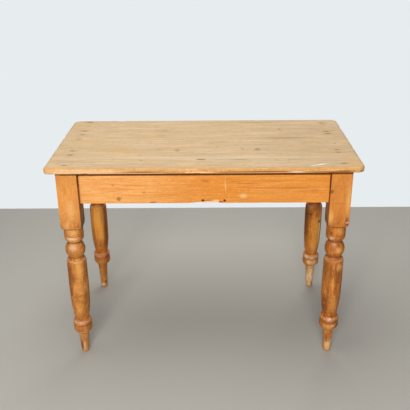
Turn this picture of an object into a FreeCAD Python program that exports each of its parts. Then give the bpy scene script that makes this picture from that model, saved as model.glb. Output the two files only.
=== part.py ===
import FreeCAD, Part
import math
import os

# A farmhouse table: three top boards nailed to a mortised frame on four turned legs.
# Sizes are in millimetres. X runs along the table, Y from front to back, Z up.
# The origin is on the floor, under the centre of the top.

# Whole table
table_height = 750.0
top_length = 1060.0
top_depth = 560.0

# Top boards, glued edge to edge with tongues and grooves
top_thickness = 20.0
top_corner_radius = 27.0
top_upper_round = 7.0
top_lower_round = 4.0
back_board_width = 174.0
front_board_width = 163.0
tongue_thickness = 6.0
tongue_length = 7.0
groove_bottom_gap = 0.5

# Frame of rails, called aprons, and where it stands under the top
end_overhang = 37.5
side_overhang = 9.0
apron_thickness = 22.0
apron_height = 119.0
long_apron_setback = 24.0
end_apron_setback = 16.0
apron_arris_round = 1.2

# Tenons on the aprons and their mortises in the legs
tenon_thickness = 10.0
tenon_lower_shoulder = 14.0
tenon_upper_shoulder = 22.0
tenon_wall = 3.0
haunch_length = 11.0
joint_clearance = 0.15
mortise_end_gap = 1.0

# Broken lower edge at the middle of the front apron
chip_start_from_middle = 55.0
deep_chip_length = 47.0
deep_chip_height = 4.0
deep_chip_depth = 11.0
torn_chip_length = 66.0
torn_chip_height = 5.0
torn_chip_depth = 3.5

# Legs, each turned from one square piece
leg_width = 71.0
leg_arris_round = 1.6
leg_block_length = 204.0
pommel_bottom_radius = 43.5
pommel_length = 15.0
collar_radius = 34.0
collar_length = 33.0
bead_groove_depth = 1.6
bead_radius = 33.6
bead_length = 24.0
neck_radius = 24.5
neck_length = 7.0
ball_radius = 34.8
ball_length = 55.0
ledge_radius = 33.0
ledge_length = 11.0
shoulder_length = 14.0
body_radius = 35.4
ring_length = 55.0
ring_upper_radius = 33.8
ring_lower_radius = 34.4
ring_groove_radius = 32.2
ring_groove_width = 3.0
ring_lower_length = 31.5
ring_underside_radius = 29.0
peg_top_radius = 20.0
peg_low_radius = 14.4
peg_low_height = 12.0
peg_end_radius = 11.0

# The legs were turned by eye, so each has its own length of peg below the ring
front_left_peg_length = 94.0
front_right_peg_length = 106.0
back_left_peg_length = 125.0
back_right_peg_length = 112.0

# Vase-shaped body: distance down it and radius there, as shares of its length and radius
body_curve_shares = (
    (0.0, 0.985),
    (0.27, 1.0),
    (0.55, 0.985),
    (0.72, 0.945),
    (0.875, 0.845),
    (0.965, 0.73),
    (1.0, 0.665),
)
pommel_middle_share = 0.35
pommel_middle_radius_share = 0.62
bead_middle_share = 0.36
bead_middle_radius_share = 1.012
ledge_middle_share = 0.62
ledge_middle_radius_share = 0.3
shoulder_middle_share = 0.42
shoulder_middle_radius_share = 0.8
ring_upper_middle_share = 0.5
ring_lower_middle_share = 0.72
peg_round_share = 0.22
peg_round_radius_share = 0.62

# Glue blocks in the corners between the aprons and the top
glue_block_length = 70.0
glue_block_side = 24.0
glue_block_chamfer = 9.0
long_block_place_share = 0.62

# Cut nails that hold the top down on the end aprons
nail_head_length = 5.0
nail_head_width = 3.6
nail_head_thickness = 1.6
nail_head_sink = 0.6
nail_shank_side = 2.6
nail_tip_side = 1.2
nail_length = 52.0
nail_joint_distance = 30.0
nail_leg_distance = 22.0

# Nail places: outwards from each board joint, then inwards from it, and outwards from a leg's middle,
# for the front and then for the back, as shares of the two distances above
left_outer_joint_shares = (0.8, 1.13)
left_inner_joint_shares = (0.67, 0.47)
left_leg_shares = (0.48, 1.0)
right_outer_joint_shares = (0.37, 0.4)
right_inner_joint_shares = (0.6, 0.6)
right_leg_shares = (0.2, 0.0)

# One overrun serves every cut that has to pass a surface
cut_overrun = 5.0

# How closely an edge has to lie at a height, or along a direction, to be picked for rounding
pick_tolerance = 0.05
nearly_along_share = 0.999

# Places that follow from the sizes
top_underside = table_height - top_thickness
leg_x = top_length / 2 - end_overhang - leg_width / 2
leg_y = top_depth / 2 - side_overhang - leg_width / 2
block_bottom = top_underside - leg_block_length
apron_bottom = top_underside - apron_height
tenon_low = apron_bottom + tenon_lower_shoulder
tenon_high = top_underside - tenon_upper_shoulder
back_joint_y = top_depth / 2 - back_board_width
front_joint_y = front_board_width - top_depth / 2
long_apron_centre_y = leg_y + leg_width / 2 - long_apron_setback - apron_thickness / 2
end_apron_centre_x = leg_x + leg_width / 2 - end_apron_setback - apron_thickness / 2
long_apron_end_x = leg_x - leg_width / 2
end_apron_end_y = leg_y - leg_width / 2
long_tenon_tip_x = end_apron_centre_x - tenon_thickness / 2 - tenon_wall
end_tenon_tip_y = long_apron_centre_y - tenon_thickness / 2 - tenon_wall


def point(x, y, z):
    return FreeCAD.Vector(x, y, z)


def box(low, high):
    """A box between two corners, each given as x, y, z."""
    size = [high[i] - low[i] for i in range(3)]
    return Part.makeBox(size[0], size[1], size[2], point(*low))


def edges_along(shape, direction, keep):
    """The straight edges of a shape that run along a direction and that keep accepts."""
    found = []
    for edge in shape.Edges:
        if edge.Curve.TypeId != "Part::GeomLine":
            continue
        tangent = edge.tangentAt(edge.FirstParameter)
        if abs(tangent.dot(direction)) > nearly_along_share and keep(edge.CenterOfMass):
            found.append(edge)
    return found


def edges_at_height(shape, height):
    """The edges of a shape that lie flat at a height."""
    found = []
    for edge in shape.Edges:
        bounds = edge.BoundBox
        if abs(bounds.ZMin - height) < pick_tolerance and abs(bounds.ZMax - height) < pick_tolerance:
            found.append(edge)
    return found


# Top boards
def make_slab():
    """The whole top as one rounded slab, before it is parted into boards."""
    half_length = top_length / 2
    half_depth = top_depth / 2
    slab = box((-half_length, -half_depth, top_underside), (half_length, half_depth, table_height))
    upright = edges_along(slab, point(0, 0, 1), lambda centre: True)
    slab = slab.makeFillet(top_corner_radius, upright)
    slab = slab.makeFillet(top_upper_round, edges_at_height(slab, table_height))
    return slab.makeFillet(top_lower_round, edges_at_height(slab, top_underside))


def board_space(low_y, high_y):
    """The full height and length of the top between two places along Y."""
    reach = top_length / 2 + cut_overrun
    return box((-reach, low_y, top_underside - cut_overrun), (reach, high_y, table_height + cut_overrun))


def joint_strip(joint_y, side, length, thickness):
    """A strip at mid thickness that leaves a joint line towards one side."""
    reach = top_length / 2 + cut_overrun
    middle = top_underside + top_thickness / 2
    near_y = joint_y - side * cut_overrun
    far_y = joint_y + side * length
    low = (-reach, min(near_y, far_y), middle - thickness / 2)
    high = (reach, max(near_y, far_y), middle + thickness / 2)
    return box(low, high)


def make_top_boards():
    slab = make_slab()
    beyond = top_depth / 2 + cut_overrun
    back_board = slab.common(board_space(back_joint_y, beyond))
    front_board = slab.common(board_space(-beyond, front_joint_y))
    middle_space = board_space(front_joint_y, back_joint_y)
    groove_length = tongue_length + groove_bottom_gap
    groove_thickness = tongue_thickness + joint_clearance * 2
    back_board = back_board.cut(joint_strip(back_joint_y, 1, groove_length, groove_thickness))
    front_board = front_board.cut(joint_strip(front_joint_y, -1, groove_length, groove_thickness))
    middle_space = middle_space.fuse(joint_strip(back_joint_y, 1, tongue_length, tongue_thickness))
    middle_space = middle_space.fuse(joint_strip(front_joint_y, -1, tongue_length, tongue_thickness))
    middle_board = slab.common(middle_space)
    return {
        "top_board_back": back_board,
        "top_board_middle": middle_board,
        "top_board_front": front_board,
    }


# Aprons, each made along X at the origin and then put in its place
def tenon_shape(shoulder_x, tip_x, side_gap, end_gap):
    """One haunched tenon that points along +X. The gaps turn it into its mortise."""
    half = tenon_thickness / 2 + side_gap
    start_x = shoulder_x - cut_overrun
    tongue = box((start_x, -half, tenon_low - side_gap), (tip_x + end_gap, half, tenon_high + side_gap))
    haunch_tip = shoulder_x + haunch_length + end_gap
    haunch = box((start_x, -half, tenon_high), (haunch_tip, half, top_underside))
    return tongue.fuse(haunch)


def make_apron(shoulder_x, tip_x):
    """An apron of full length with a haunched tenon at each end."""
    half = apron_thickness / 2
    rail = box((-shoulder_x, -half, apron_bottom), (shoulder_x, half, top_underside))
    middle_height = apron_bottom + apron_height / 2
    lower_arrises = edges_along(rail, point(1, 0, 0), lambda centre: centre.z < middle_height)
    rail = rail.makeFillet(apron_arris_round, lower_arrises)
    right_tenon = tenon_shape(shoulder_x, tip_x, 0, 0)
    left_tenon = right_tenon.mirror(point(0, 0, 0), point(1, 0, 0))
    return rail.fuse(right_tenon).fuse(left_tenon).removeSplitter()


def turned_to_end(shape, side):
    """Turns a shape made along X so that it runs along Y at one end of the table."""
    turned = shape.copy()
    turned.rotate(point(0, 0, 0), point(0, 0, 1), 90)
    turned.translate(point(side * end_apron_centre_x, 0, 0))
    return turned


def chip_space():
    """The wood that has broken away from the lower edge of the front apron."""
    face_y = -long_apron_centre_y - apron_thickness / 2
    low_z = apron_bottom - cut_overrun
    deep_start = -chip_start_from_middle
    deep_end = deep_start + deep_chip_length
    torn_end = deep_end + torn_chip_length
    deep = Part.makePolygon(
        [
            point(deep_start, face_y - cut_overrun, low_z),
            point(deep_start, face_y - cut_overrun, apron_bottom),
            point(deep_end, face_y - cut_overrun, apron_bottom + deep_chip_height),
            point(deep_end, face_y - cut_overrun, low_z),
            point(deep_start, face_y - cut_overrun, low_z),
        ]
    )
    torn = Part.makePolygon(
        [
            point(deep_end, face_y - cut_overrun, low_z),
            point(deep_end, face_y - cut_overrun, apron_bottom + torn_chip_height),
            point(torn_end, face_y - cut_overrun, apron_bottom + torn_chip_height / 2),
            point(torn_end, face_y - cut_overrun, low_z),
            point(deep_end, face_y - cut_overrun, low_z),
        ]
    )
    deep_cut = Part.Face(deep).extrude(point(0, cut_overrun + deep_chip_depth, 0))
    torn_cut = Part.Face(torn).extrude(point(0, cut_overrun + torn_chip_depth, 0))
    return deep_cut.fuse(torn_cut)


def make_aprons():
    long_apron = make_apron(long_apron_end_x, long_tenon_tip_x)
    end_apron = make_apron(end_apron_end_y, end_tenon_tip_y)
    front = long_apron.copy()
    front.translate(point(0, -long_apron_centre_y, 0))
    back = long_apron.copy()
    back.translate(point(0, long_apron_centre_y, 0))
    return {
        "apron_front": front.cut(chip_space()),
        "apron_back": back,
        "apron_left_end": turned_to_end(end_apron, -1),
        "apron_right_end": turned_to_end(end_apron, 1),
    }


# Legs
def turned_outline(peg_length):
    """The closed half outline of the turned part, from the peg's end up into the block."""
    neck_top = block_bottom - collar_length - bead_length
    ball_top = neck_top - neck_length
    ball_bottom = ball_top - ball_length
    ledge_bottom = ball_bottom - ledge_length
    shoulder_bottom = ledge_bottom - shoulder_length
    ring_top = peg_length + ring_length
    groove_top = peg_length + ring_lower_length + ring_groove_width / 2
    groove_bottom = groove_top - ring_groove_width

    def at(radius, height):
        return point(radius, 0, height)

    def line(start, end):
        return Part.LineSegment(start, end).toShape()

    def arc(start, middle, end):
        return Part.Arc(start, middle, end).toShape()

    body_length = shoulder_bottom - ring_top
    body_points = []
    for down_share, radius_share in body_curve_shares:
        body_points.append(at(body_radius * radius_share, shoulder_bottom - body_length * down_share))
    body_points.reverse()
    body = Part.BSplineCurve()
    body.interpolate(body_points)

    peg_round_radius = peg_end_radius + (peg_low_radius - peg_end_radius) * peg_round_radius_share
    ledge_step = ledge_radius - neck_radius
    shoulder_radius = body_radius * body_curve_shares[0][1]
    shoulder_step = shoulder_radius - ledge_radius
    bead_bottom_radius = neck_radius + bead_groove_depth
    bead_groove_radius = bead_radius - bead_groove_depth
    bead_top = block_bottom - collar_length
    bead_middle = at(bead_radius * bead_middle_radius_share, bead_top - bead_length * bead_middle_share)
    ledge_middle = at(
        neck_radius + ledge_step * ledge_middle_radius_share,
        ball_bottom - ledge_length * ledge_middle_share,
    )
    shoulder_middle = at(
        ledge_radius + shoulder_step * shoulder_middle_radius_share,
        ledge_bottom - shoulder_length * shoulder_middle_share,
    )
    ring_upper_middle = groove_top + (ring_top - groove_top) * ring_upper_middle_share
    ring_lower_middle = peg_length + ring_lower_length * ring_lower_middle_share
    block_inside = block_bottom + collar_length
    ball_middle = at(ball_radius, ball_bottom + ball_length / 2)

    edges = [
        line(at(0, 0), at(peg_end_radius, 0)),
        arc(
            at(peg_end_radius, 0),
            at(peg_round_radius, peg_low_height * peg_round_share),
            at(peg_low_radius, peg_low_height),
        ),
        line(at(peg_low_radius, peg_low_height), at(peg_top_radius, peg_length)),
        line(at(peg_top_radius, peg_length), at(ring_underside_radius, peg_length)),
        arc(
            at(ring_underside_radius, peg_length),
            at(ring_lower_radius, ring_lower_middle),
            at(ring_groove_radius, groove_bottom),
        ),
        line(at(ring_groove_radius, groove_bottom), at(ring_groove_radius, groove_top)),
        arc(
            at(ring_groove_radius, groove_top),
            at(ring_upper_radius, ring_upper_middle),
            body_points[0],
        ),
        body.toShape(),
        arc(body_points[-1], shoulder_middle, at(ledge_radius, ledge_bottom)),
        arc(at(ledge_radius, ledge_bottom), ledge_middle, at(neck_radius, ball_bottom)),
        arc(at(neck_radius, ball_bottom), ball_middle, at(neck_radius, ball_top)),
        line(at(neck_radius, ball_top), at(neck_radius, neck_top)),
        line(at(neck_radius, neck_top), at(bead_bottom_radius, neck_top)),
        arc(at(bead_bottom_radius, neck_top), bead_middle, at(bead_groove_radius, bead_top)),
        line(at(bead_groove_radius, bead_top), at(collar_radius, bead_top)),
        line(at(collar_radius, bead_top), at(collar_radius, block_inside)),
        line(at(collar_radius, block_inside), at(0, block_inside)),
        line(at(0, block_inside), at(0, 0)),
    ]
    return Part.Wire(Part.__sortEdges__(edges))


def mortise_space(side_x, side_y):
    """The mortises of one leg, for the long apron and for the end apron, in the table's place."""
    long_mortise = tenon_shape(long_apron_end_x, long_tenon_tip_x, joint_clearance, mortise_end_gap)
    if side_x < 0:
        long_mortise = long_mortise.mirror(point(0, 0, 0), point(1, 0, 0))
    long_mortise.translate(point(0, side_y * long_apron_centre_y, 0))
    end_mortise = tenon_shape(end_apron_end_y, end_tenon_tip_y, joint_clearance, mortise_end_gap)
    if side_y < 0:
        end_mortise = end_mortise.mirror(point(0, 0, 0), point(1, 0, 0))
    end_mortise = turned_to_end(end_mortise, side_x)
    return long_mortise.fuse(end_mortise)


def pommel_space():
    """What the lathe leaves of the square block: its lower corners are turned off in a curve."""
    corner_radius = leg_width / 2 * math.sqrt(2)
    pommel_top = block_bottom + pommel_length
    middle_radius = pommel_bottom_radius + (corner_radius - pommel_bottom_radius) * pommel_middle_radius_share
    bottom = point(pommel_bottom_radius, 0, block_bottom)
    middle = point(middle_radius, 0, block_bottom + pommel_length * pommel_middle_share)
    top = point(corner_radius, 0, pommel_top)
    edges = [
        Part.Arc(bottom, middle, top).toShape(),
        Part.makeLine(top, point(corner_radius, 0, table_height)),
        Part.makeLine(point(corner_radius, 0, table_height), point(0, 0, table_height)),
        Part.makeLine(point(0, 0, table_height), point(0, 0, block_bottom)),
        Part.makeLine(point(0, 0, block_bottom), bottom),
    ]
    return Part.Face(Part.Wire(edges)).revolve(point(0, 0, 0), point(0, 0, 1), 360)


def make_leg(side_x, side_y, peg_length):
    half = leg_width / 2
    block = box((-half, -half, block_bottom), (half, half, top_underside))
    arrises = edges_along(block, point(0, 0, 1), lambda centre: True)
    block = block.makeFillet(leg_arris_round, arrises)
    block = block.common(pommel_space())
    turned = Part.Face(turned_outline(peg_length)).revolve(point(0, 0, 0), point(0, 0, 1), 360)
    leg = block.fuse(turned).removeSplitter()
    leg.translate(point(side_x * leg_x, side_y * leg_y, 0))
    return leg.cut(mortise_space(side_x, side_y))


def make_legs():
    return {
        "leg_front_left": make_leg(-1, -1, front_left_peg_length),
        "leg_front_right": make_leg(1, -1, front_right_peg_length),
        "leg_back_left": make_leg(-1, 1, back_left_peg_length),
        "leg_back_right": make_leg(1, 1, back_right_peg_length),
    }


# Glue blocks
def glue_block():
    """A block along X in the corner above and behind the origin, its outer arris cut off."""
    half = glue_block_length / 2
    block = box((-half, -glue_block_side, -glue_block_side), (half, 0, 0))

    def outer(centre):
        return centre.y < -glue_block_side / 2 and centre.z < -glue_block_side / 2

    return block.makeChamfer(glue_block_chamfer, edges_along(block, point(1, 0, 0), outer))


def placed_block(turn, x, y):
    block = glue_block()
    block.rotate(point(0, 0, 0), point(0, 0, 1), turn)
    block.translate(point(x, y, top_underside))
    return block


def make_glue_blocks():
    inner_y = long_apron_centre_y - apron_thickness / 2
    inner_x = end_apron_centre_x - apron_thickness / 2
    place_x = long_apron_end_x * long_block_place_share
    return {
        "glue_block_back_left": placed_block(0, -place_x, inner_y),
        "glue_block_back_middle": placed_block(0, 0, inner_y),
        "glue_block_back_right": placed_block(0, place_x, inner_y),
        "glue_block_front_left": placed_block(180, -place_x, -inner_y),
        "glue_block_front_middle": placed_block(180, 0, -inner_y),
        "glue_block_front_right": placed_block(180, place_x, -inner_y),
        "glue_block_left_end": placed_block(90, -inner_x, 0),
        "glue_block_right_end": placed_block(-90, inner_x, 0),
    }


# Nails
def square_wire(side, height):
    half = side / 2
    corners = [
        point(-half, -half, height),
        point(half, -half, height),
        point(half, half, height),
        point(-half, half, height),
        point(-half, -half, height),
    ]
    return Part.makePolygon(corners)


def nail():
    """A cut nail, its head's top at height zero and its point down."""
    head = box(
        (-nail_head_length / 2, -nail_head_width / 2, -nail_head_thickness),
        (nail_head_length / 2, nail_head_width / 2, 0),
    )
    shank = Part.makeLoft(
        [square_wire(nail_tip_side, -nail_length), square_wire(nail_shank_side, -nail_head_thickness)],
        True,
        True,
    )
    return head.fuse(shank)


def nail_pit():
    """The punched hole above a nail's head."""
    return box(
        (-nail_head_length / 2, -nail_head_width / 2, 0),
        (nail_head_length / 2, nail_head_width / 2, nail_head_sink + cut_overrun),
    )


def nail_places(outer_joint_shares, inner_joint_shares, leg_shares):
    """The places along Y of the nails at one end: beside the board joints and over the legs."""
    places = []
    for half, joint_y in enumerate((front_joint_y, back_joint_y)):
        outwards = half * 2 - 1
        places.append(joint_y + outwards * outer_joint_shares[half] * nail_joint_distance)
        places.append(joint_y - outwards * inner_joint_shares[half] * nail_joint_distance)
        places.append(outwards * (leg_y + leg_shares[half] * nail_leg_distance))
    return places


def nail_row(shape, side):
    """Copies of a shape at the nail places over one end apron."""
    if side < 0:
        places = nail_places(left_outer_joint_shares, left_inner_joint_shares, left_leg_shares)
    else:
        places = nail_places(right_outer_joint_shares, right_inner_joint_shares, right_leg_shares)
    row = []
    for place_y in places:
        copy = shape.copy()
        copy.translate(point(side * end_apron_centre_x, place_y, table_height - nail_head_sink))
        row.append(copy)
    return row


def make_nails():
    return {
        "nails_left_end": Part.makeCompound(nail_row(nail(), -1)),
        "nails_right_end": Part.makeCompound(nail_row(nail(), 1)),
    }


def nail_holes():
    hole = nail().fuse(nail_pit())
    return nail_row(hole, -1) + nail_row(hole, 1)


def without_nails(shape, holes):
    """A wooden piece with the holes that cross it cut out."""
    for hole in holes:
        if shape.BoundBox.intersect(hole.BoundBox):
            shape = shape.cut(hole)
    return shape


def write_parts():
    os.makedirs("parts", exist_ok=True)
    holes = nail_holes()
    wooden = {}
    wooden.update(make_top_boards())
    wooden.update(make_aprons())
    wooden.update(make_legs())
    pieces = {name: without_nails(shape, holes) for name, shape in wooden.items()}
    pieces.update(make_glue_blocks())
    pieces.update(make_nails())
    for name, shape in pieces.items():
        shape.exportStep(os.path.join("parts", name + ".step"))
        print(name, len(shape.Solids), "solids", round(shape.Volume / 1000, 1), "cm3", shape.isValid())


write_parts()
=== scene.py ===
import math
import random

import bmesh
import bpy
from mathutils import Matrix, Vector, noise


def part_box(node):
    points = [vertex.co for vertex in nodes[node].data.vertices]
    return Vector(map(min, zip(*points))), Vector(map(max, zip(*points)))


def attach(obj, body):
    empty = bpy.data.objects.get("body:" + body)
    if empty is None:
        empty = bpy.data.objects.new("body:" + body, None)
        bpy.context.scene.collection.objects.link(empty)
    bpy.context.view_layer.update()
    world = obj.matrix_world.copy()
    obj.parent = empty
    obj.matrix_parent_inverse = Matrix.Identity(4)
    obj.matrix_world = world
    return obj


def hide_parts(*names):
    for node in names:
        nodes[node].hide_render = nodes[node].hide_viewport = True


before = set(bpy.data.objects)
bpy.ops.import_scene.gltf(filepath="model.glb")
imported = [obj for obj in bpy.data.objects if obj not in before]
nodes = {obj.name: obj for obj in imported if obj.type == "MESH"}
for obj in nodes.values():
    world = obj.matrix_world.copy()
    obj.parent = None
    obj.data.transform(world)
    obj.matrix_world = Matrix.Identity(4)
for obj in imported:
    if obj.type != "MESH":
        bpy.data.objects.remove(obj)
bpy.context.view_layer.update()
scene = bpy.context.scene
print("frame loaded:", len(nodes), "pieces")


def linked(name, data):
    thing = bpy.data.objects.new(name, data)
    scene.collection.objects.link(thing)
    return thing


def newPiece(bm, name, material):
    mesh = bpy.data.meshes.new(name)
    bm.to_mesh(mesh)
    bm.free()
    mesh.materials.append(material)
    return linked(name, mesh)


def newMaterial(name):
    material = bpy.data.materials.new(name)
    material.use_nodes = True
    return material, material.node_tree.nodes["Principled BSDF"]


# Camera, fitted to the photograph of the table
cameraView = {
    "place": (0.0271831, -2.2291543, 1.4751067),
    "yaw": -0.0123418,
    "pitch": 0.4139683,
    "roll": -0.0098499,
    "lens": 55.848,
    "sensor": 36.0,
    "clipStart": 0.05,
}


def makeCamera(view):
    data = bpy.data.cameras.new("camera")
    data.lens = view["lens"]
    data.sensor_width = view["sensor"]
    data.clip_start = view["clipStart"]
    scene.camera = linked("camera", data)
    turn = Matrix.Rotation(-view["yaw"], 4, "Z")
    tip = Matrix.Rotation(math.pi / 2 - view["pitch"], 4, "X")
    roll = Matrix.Rotation(view["roll"], 4, "Z")
    scene.camera.matrix_world = Matrix.Translation(view["place"]) @ turn @ tip @ roll


# Room: a plain pale floor, a pale surround and soft light from the front and the left
room = {
    "floorSize": (9.0, 7.0),
    "floorFarEdge": 1.09,
    "floorColour": (0.44, 0.42, 0.375, 1.0),
    "floorRoughness": 0.85,
    "surroundColour": (0.80, 0.845, 0.86, 1.0),
    "surroundLight": 0.16,
}
lights = {
    "key_light": {"place": (-0.34, -3.95, 2.15), "aim": (0.0, 0.0, 0.45), "size": (2.0, 1.5), "power": 164.0},
    "top_light": {"place": (-0.4, 0.2, 2.9), "aim": (0.0, 0.0, 0.6), "size": (2.4, 1.8), "power": 41.0},
    "back_light": {"place": (0.5, 2.6, 1.9), "aim": (0.0, 0.0, 0.4), "size": (2.2, 1.6), "power": 27.0},
}


def makeFloor(look):
    bm = bmesh.new()
    bmesh.ops.create_grid(bm, x_segments=1, y_segments=1, size=0.5)
    width, depth = look["floorSize"]
    bmesh.ops.scale(bm, vec=(width, depth, 1.0), verts=bm.verts)
    bmesh.ops.translate(bm, vec=(0.0, look["floorFarEdge"] - depth / 2, 0.0), verts=bm.verts)
    material, shader = newMaterial("floor_paint")
    shader.inputs["Base Color"].default_value = look["floorColour"]
    shader.inputs["Roughness"].default_value = look["floorRoughness"]
    floor = newPiece(bm, "floor", material)


def makeSurround(look):
    # The camera sees the full surround, the table is lit by little of it
    world = bpy.data.worlds.new("surround")
    scene.world = world
    world.use_nodes = True
    tree = world.node_tree
    seen = tree.nodes["Background"]
    seen.inputs["Color"].default_value = look["surroundColour"]
    lit = tree.nodes.new("ShaderNodeBackground")
    lit.inputs["Color"].default_value = look["surroundColour"]
    lit.inputs["Strength"].default_value = look["surroundLight"]
    path = tree.nodes.new("ShaderNodeLightPath")
    mixed = tree.nodes.new("ShaderNodeMixShader")
    tree.links.new(path.outputs["Is Camera Ray"], mixed.inputs[0])
    tree.links.new(lit.outputs[0], mixed.inputs[1])
    tree.links.new(seen.outputs[0], mixed.inputs[2])
    tree.links.new(mixed.outputs[0], tree.nodes["World Output"].inputs["Surface"])


def makeLight(name, look):
    data = bpy.data.lights.new(name, "AREA")
    data.shape = "RECTANGLE"
    data.size, data.size_y = look["size"]
    data.energy = look["power"]
    place = Vector(look["place"])
    facing = (Vector(look["aim"]) - place).to_track_quat("-Z", "Y")
    linked(name, data).matrix_world = Matrix.Translation(place) @ facing.to_matrix().to_4x4()


makeCamera(cameraView)
makeFloor(room)
makeSurround(room)
for name, look in lights.items():
    makeLight(name, look)
scene.view_settings.view_transform = "Standard"
print("camera, room and lights made")


# Small helpers for shader nodes: each takes sockets or fixed values and gives back a socket
def feed(tree, socket, value):
    if isinstance(value, bpy.types.NodeSocket):
        tree.links.new(value, socket)
    else:
        socket.default_value = value


def calc(tree, operation, *values):
    node = tree.nodes.new("ShaderNodeMath")
    node.operation = operation
    for socket, value in zip(node.inputs, values):
        feed(tree, socket, value)
    return node.outputs[0]


def vectorCalc(tree, operation, vector, amount):
    node = tree.nodes.new("ShaderNodeVectorMath")
    node.operation = operation
    feed(tree, node.inputs[0], vector)
    feed(tree, node.inputs[1], amount)
    return node.outputs[0]


def noiseOf(tree, vector, scale, detail, roughness):
    node = tree.nodes.new("ShaderNodeTexNoise")
    feed(tree, node.inputs["Vector"], vector)
    node.inputs["Scale"].default_value = scale
    node.inputs["Detail"].default_value = detail
    node.inputs["Roughness"].default_value = roughness
    return node.outputs["Fac"]


def grainNoise(tree, own, scale, detail, roughness=0.5):
    # Noise drawn out along the grain: scale is along it and across it
    along, across = scale
    return noiseOf(tree, vectorCalc(tree, "MULTIPLY", own, (along, across, across)), 1.0, detail, roughness)


def fade(tree, value, low, high, lowResult=0.0, highResult=1.0):
    node = tree.nodes.new("ShaderNodeMapRange")
    node.interpolation_type = "SMOOTHSTEP"
    for socket, number in zip(node.inputs[:5], (value, low, high, lowResult, highResult)):
        feed(tree, socket, number)
    return node.outputs[0]


def blended(tree, factor, first, second, mode="MIX"):
    node = tree.nodes.new("ShaderNodeMix")
    node.data_type = "RGBA"
    node.blend_type = mode
    feed(tree, node.inputs[0], factor)
    for socket, value in zip(node.inputs[6:8], (first, second)):
        feed(tree, socket, value if isinstance(value, bpy.types.NodeSocket) else (*value, 1.0))
    return node.outputs[2]


def addBump(tree, shader, height, strength, reach):
    bump = tree.nodes.new("ShaderNodeBump")
    bump.inputs["Strength"].default_value = strength
    bump.inputs["Distance"].default_value = reach
    feed(tree, bump.inputs["Height"], height)
    feed(tree, shader.inputs["Normal"], bump.outputs[0])


# How dark a growth ring is, from one ring to the next: pale early wood darkens slowly and then breaks off
ringStops = ((0.0, 0.25), (0.1, 0.0), (0.5, 0.14), (0.84, 1.0), (0.96, 0.75))
# What all the woods share, unless a wood's own dictionary says otherwise
woodBasics = {
    "streakScale": (2.2, 75.0),
    "streakFade": (0.46, 0.72),
    "patchScale": (4.0, 9.0),
    "patchFade": (0.35, 0.7),
    "mottleScale": (30.0, 90.0),
    "mottleFade": (0.5, 0.78),
    "fibreScale": (16.0, 620.0),
    "fibreFade": (0.62, 0.36),
    "speckScale": (260.0, 420.0),
    "speckFade": (0.66, 0.76),
    "speckStrength": 0.2,
    "wanderScale": (1.7, 7.0),
    "waverScale": (9.0, 45.0),
    "markNoise": 160.0,
    "knotSoft": 0.5,
    "knotSink": -0.25,
    "wearMottle": 0.9,
    "rubAndSheenFade": (0.42, 0.8),
    "hollowFade": (-0.55, -1.15),
    "rubAndSheenRoughness": 0.16,
    "fibreRoughness": 0.16,
    "mottleRoughness": 0.2,
    "dullRoughness": 0.6,
    "bumpReach": 0.0008,
    "ground": (),
    "blotches": (),
    "knots": (),
    "zones": (),
    "marks": (),
}


def ringCurve(tree, value):
    node = tree.nodes.new("ShaderNodeValToRGB")
    feed(tree, node.inputs[0], value)
    elements = node.color_ramp.elements
    while len(elements) < len(ringStops):
        elements.new(0.5)
    for element, (position, level) in zip(elements, ringStops):
        element.position = position
        element.color = (level, level, level, 1.0)
    return node.outputs[0]


def spot(tree, place, edgeNoise, mark):
    # 1 inside a soft-edged ellipsoid, 0 outside it
    node = tree.nodes.new("ShaderNodeMapping")
    node.vector_type = "TEXTURE"
    feed(tree, node.inputs["Vector"], place)
    for name, key in (("Location", "at"), ("Rotation", "turn"), ("Scale", "size")):
        node.inputs[name].default_value = mark[key]
    reach = tree.nodes.new("ShaderNodeVectorMath")
    reach.operation = "LENGTH"
    feed(tree, reach.inputs[0], node.outputs[0])
    ragged = calc(tree, "MULTIPLY_ADD", edgeNoise, mark["ragged"], reach.outputs["Value"])
    return fade(tree, ragged, 1.0 - mark["soft"], 1.0 + mark["soft"], mark["strength"], 0.0)


def grainSpace(tree, place, along):
    # Object coordinates put in the order along the grain, across it, and up through it
    parts = tree.nodes.new("ShaderNodeSeparateXYZ")
    feed(tree, parts.inputs[0], place)
    whole = tree.nodes.new("ShaderNodeCombineXYZ")
    for socket, axis in zip(whole.inputs, {"X": "XYZ", "Y": "YXZ", "Z": "ZXY"}[along]):
        feed(tree, socket, parts.outputs[axis])
    return whole.outputs[0], parts.outputs


def ringDistance(tree, grain, own, wood, place, edgeNoise):
    # How far a point lies from the tree's heart, which runs nearly along the grain
    parts = tree.nodes.new("ShaderNodeSeparateXYZ")
    feed(tree, parts.inputs[0], grain)
    squared = 0.0
    for part, lean, heart in zip(parts.outputs[1:], wood["lean"], wood["heart"]):
        away = calc(tree, "MULTIPLY_ADD", parts.outputs[0], lean, calc(tree, "SUBTRACT", part, heart))
        squared = calc(tree, "MULTIPLY_ADD", away, away, squared)
    distance = calc(tree, "SQRT", squared)
    for name in ("wander", "waver"):
        sway = grainNoise(tree, own, wood[name + "Scale"], 1.0)
        distance = calc(tree, "MULTIPLY_ADD", sway, wood[name], distance)
    for knot in wood["knots"]:
        around = dict(knot, size=knot["size"] * knot["swirl"], soft=0.95, ragged=0.0, strength=1.0)
        distance = calc(tree, "MULTIPLY_ADD", spot(tree, place, edgeNoise, around), knot["push"], distance)
    return distance


def zoneAmount(tree, axes, patches, edgeNoise, zone):
    level = axes[zone["axis"]]
    if zone.get("both"):
        level = calc(tree, "ABSOLUTE", level)
    level = calc(tree, "MULTIPLY_ADD", calc(tree, "SUBTRACT", patches, 0.5), zone.get("uneven", 0.0), level)
    level = calc(tree, "MULTIPLY_ADD", edgeNoise, zone.get("rough", 0.0), level)
    results = (zone["strength"], 0.0) if zone.get("flip") else (0.0, zone["strength"])
    return fade(tree, level, zone["low"], zone["high"], *results)


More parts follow.
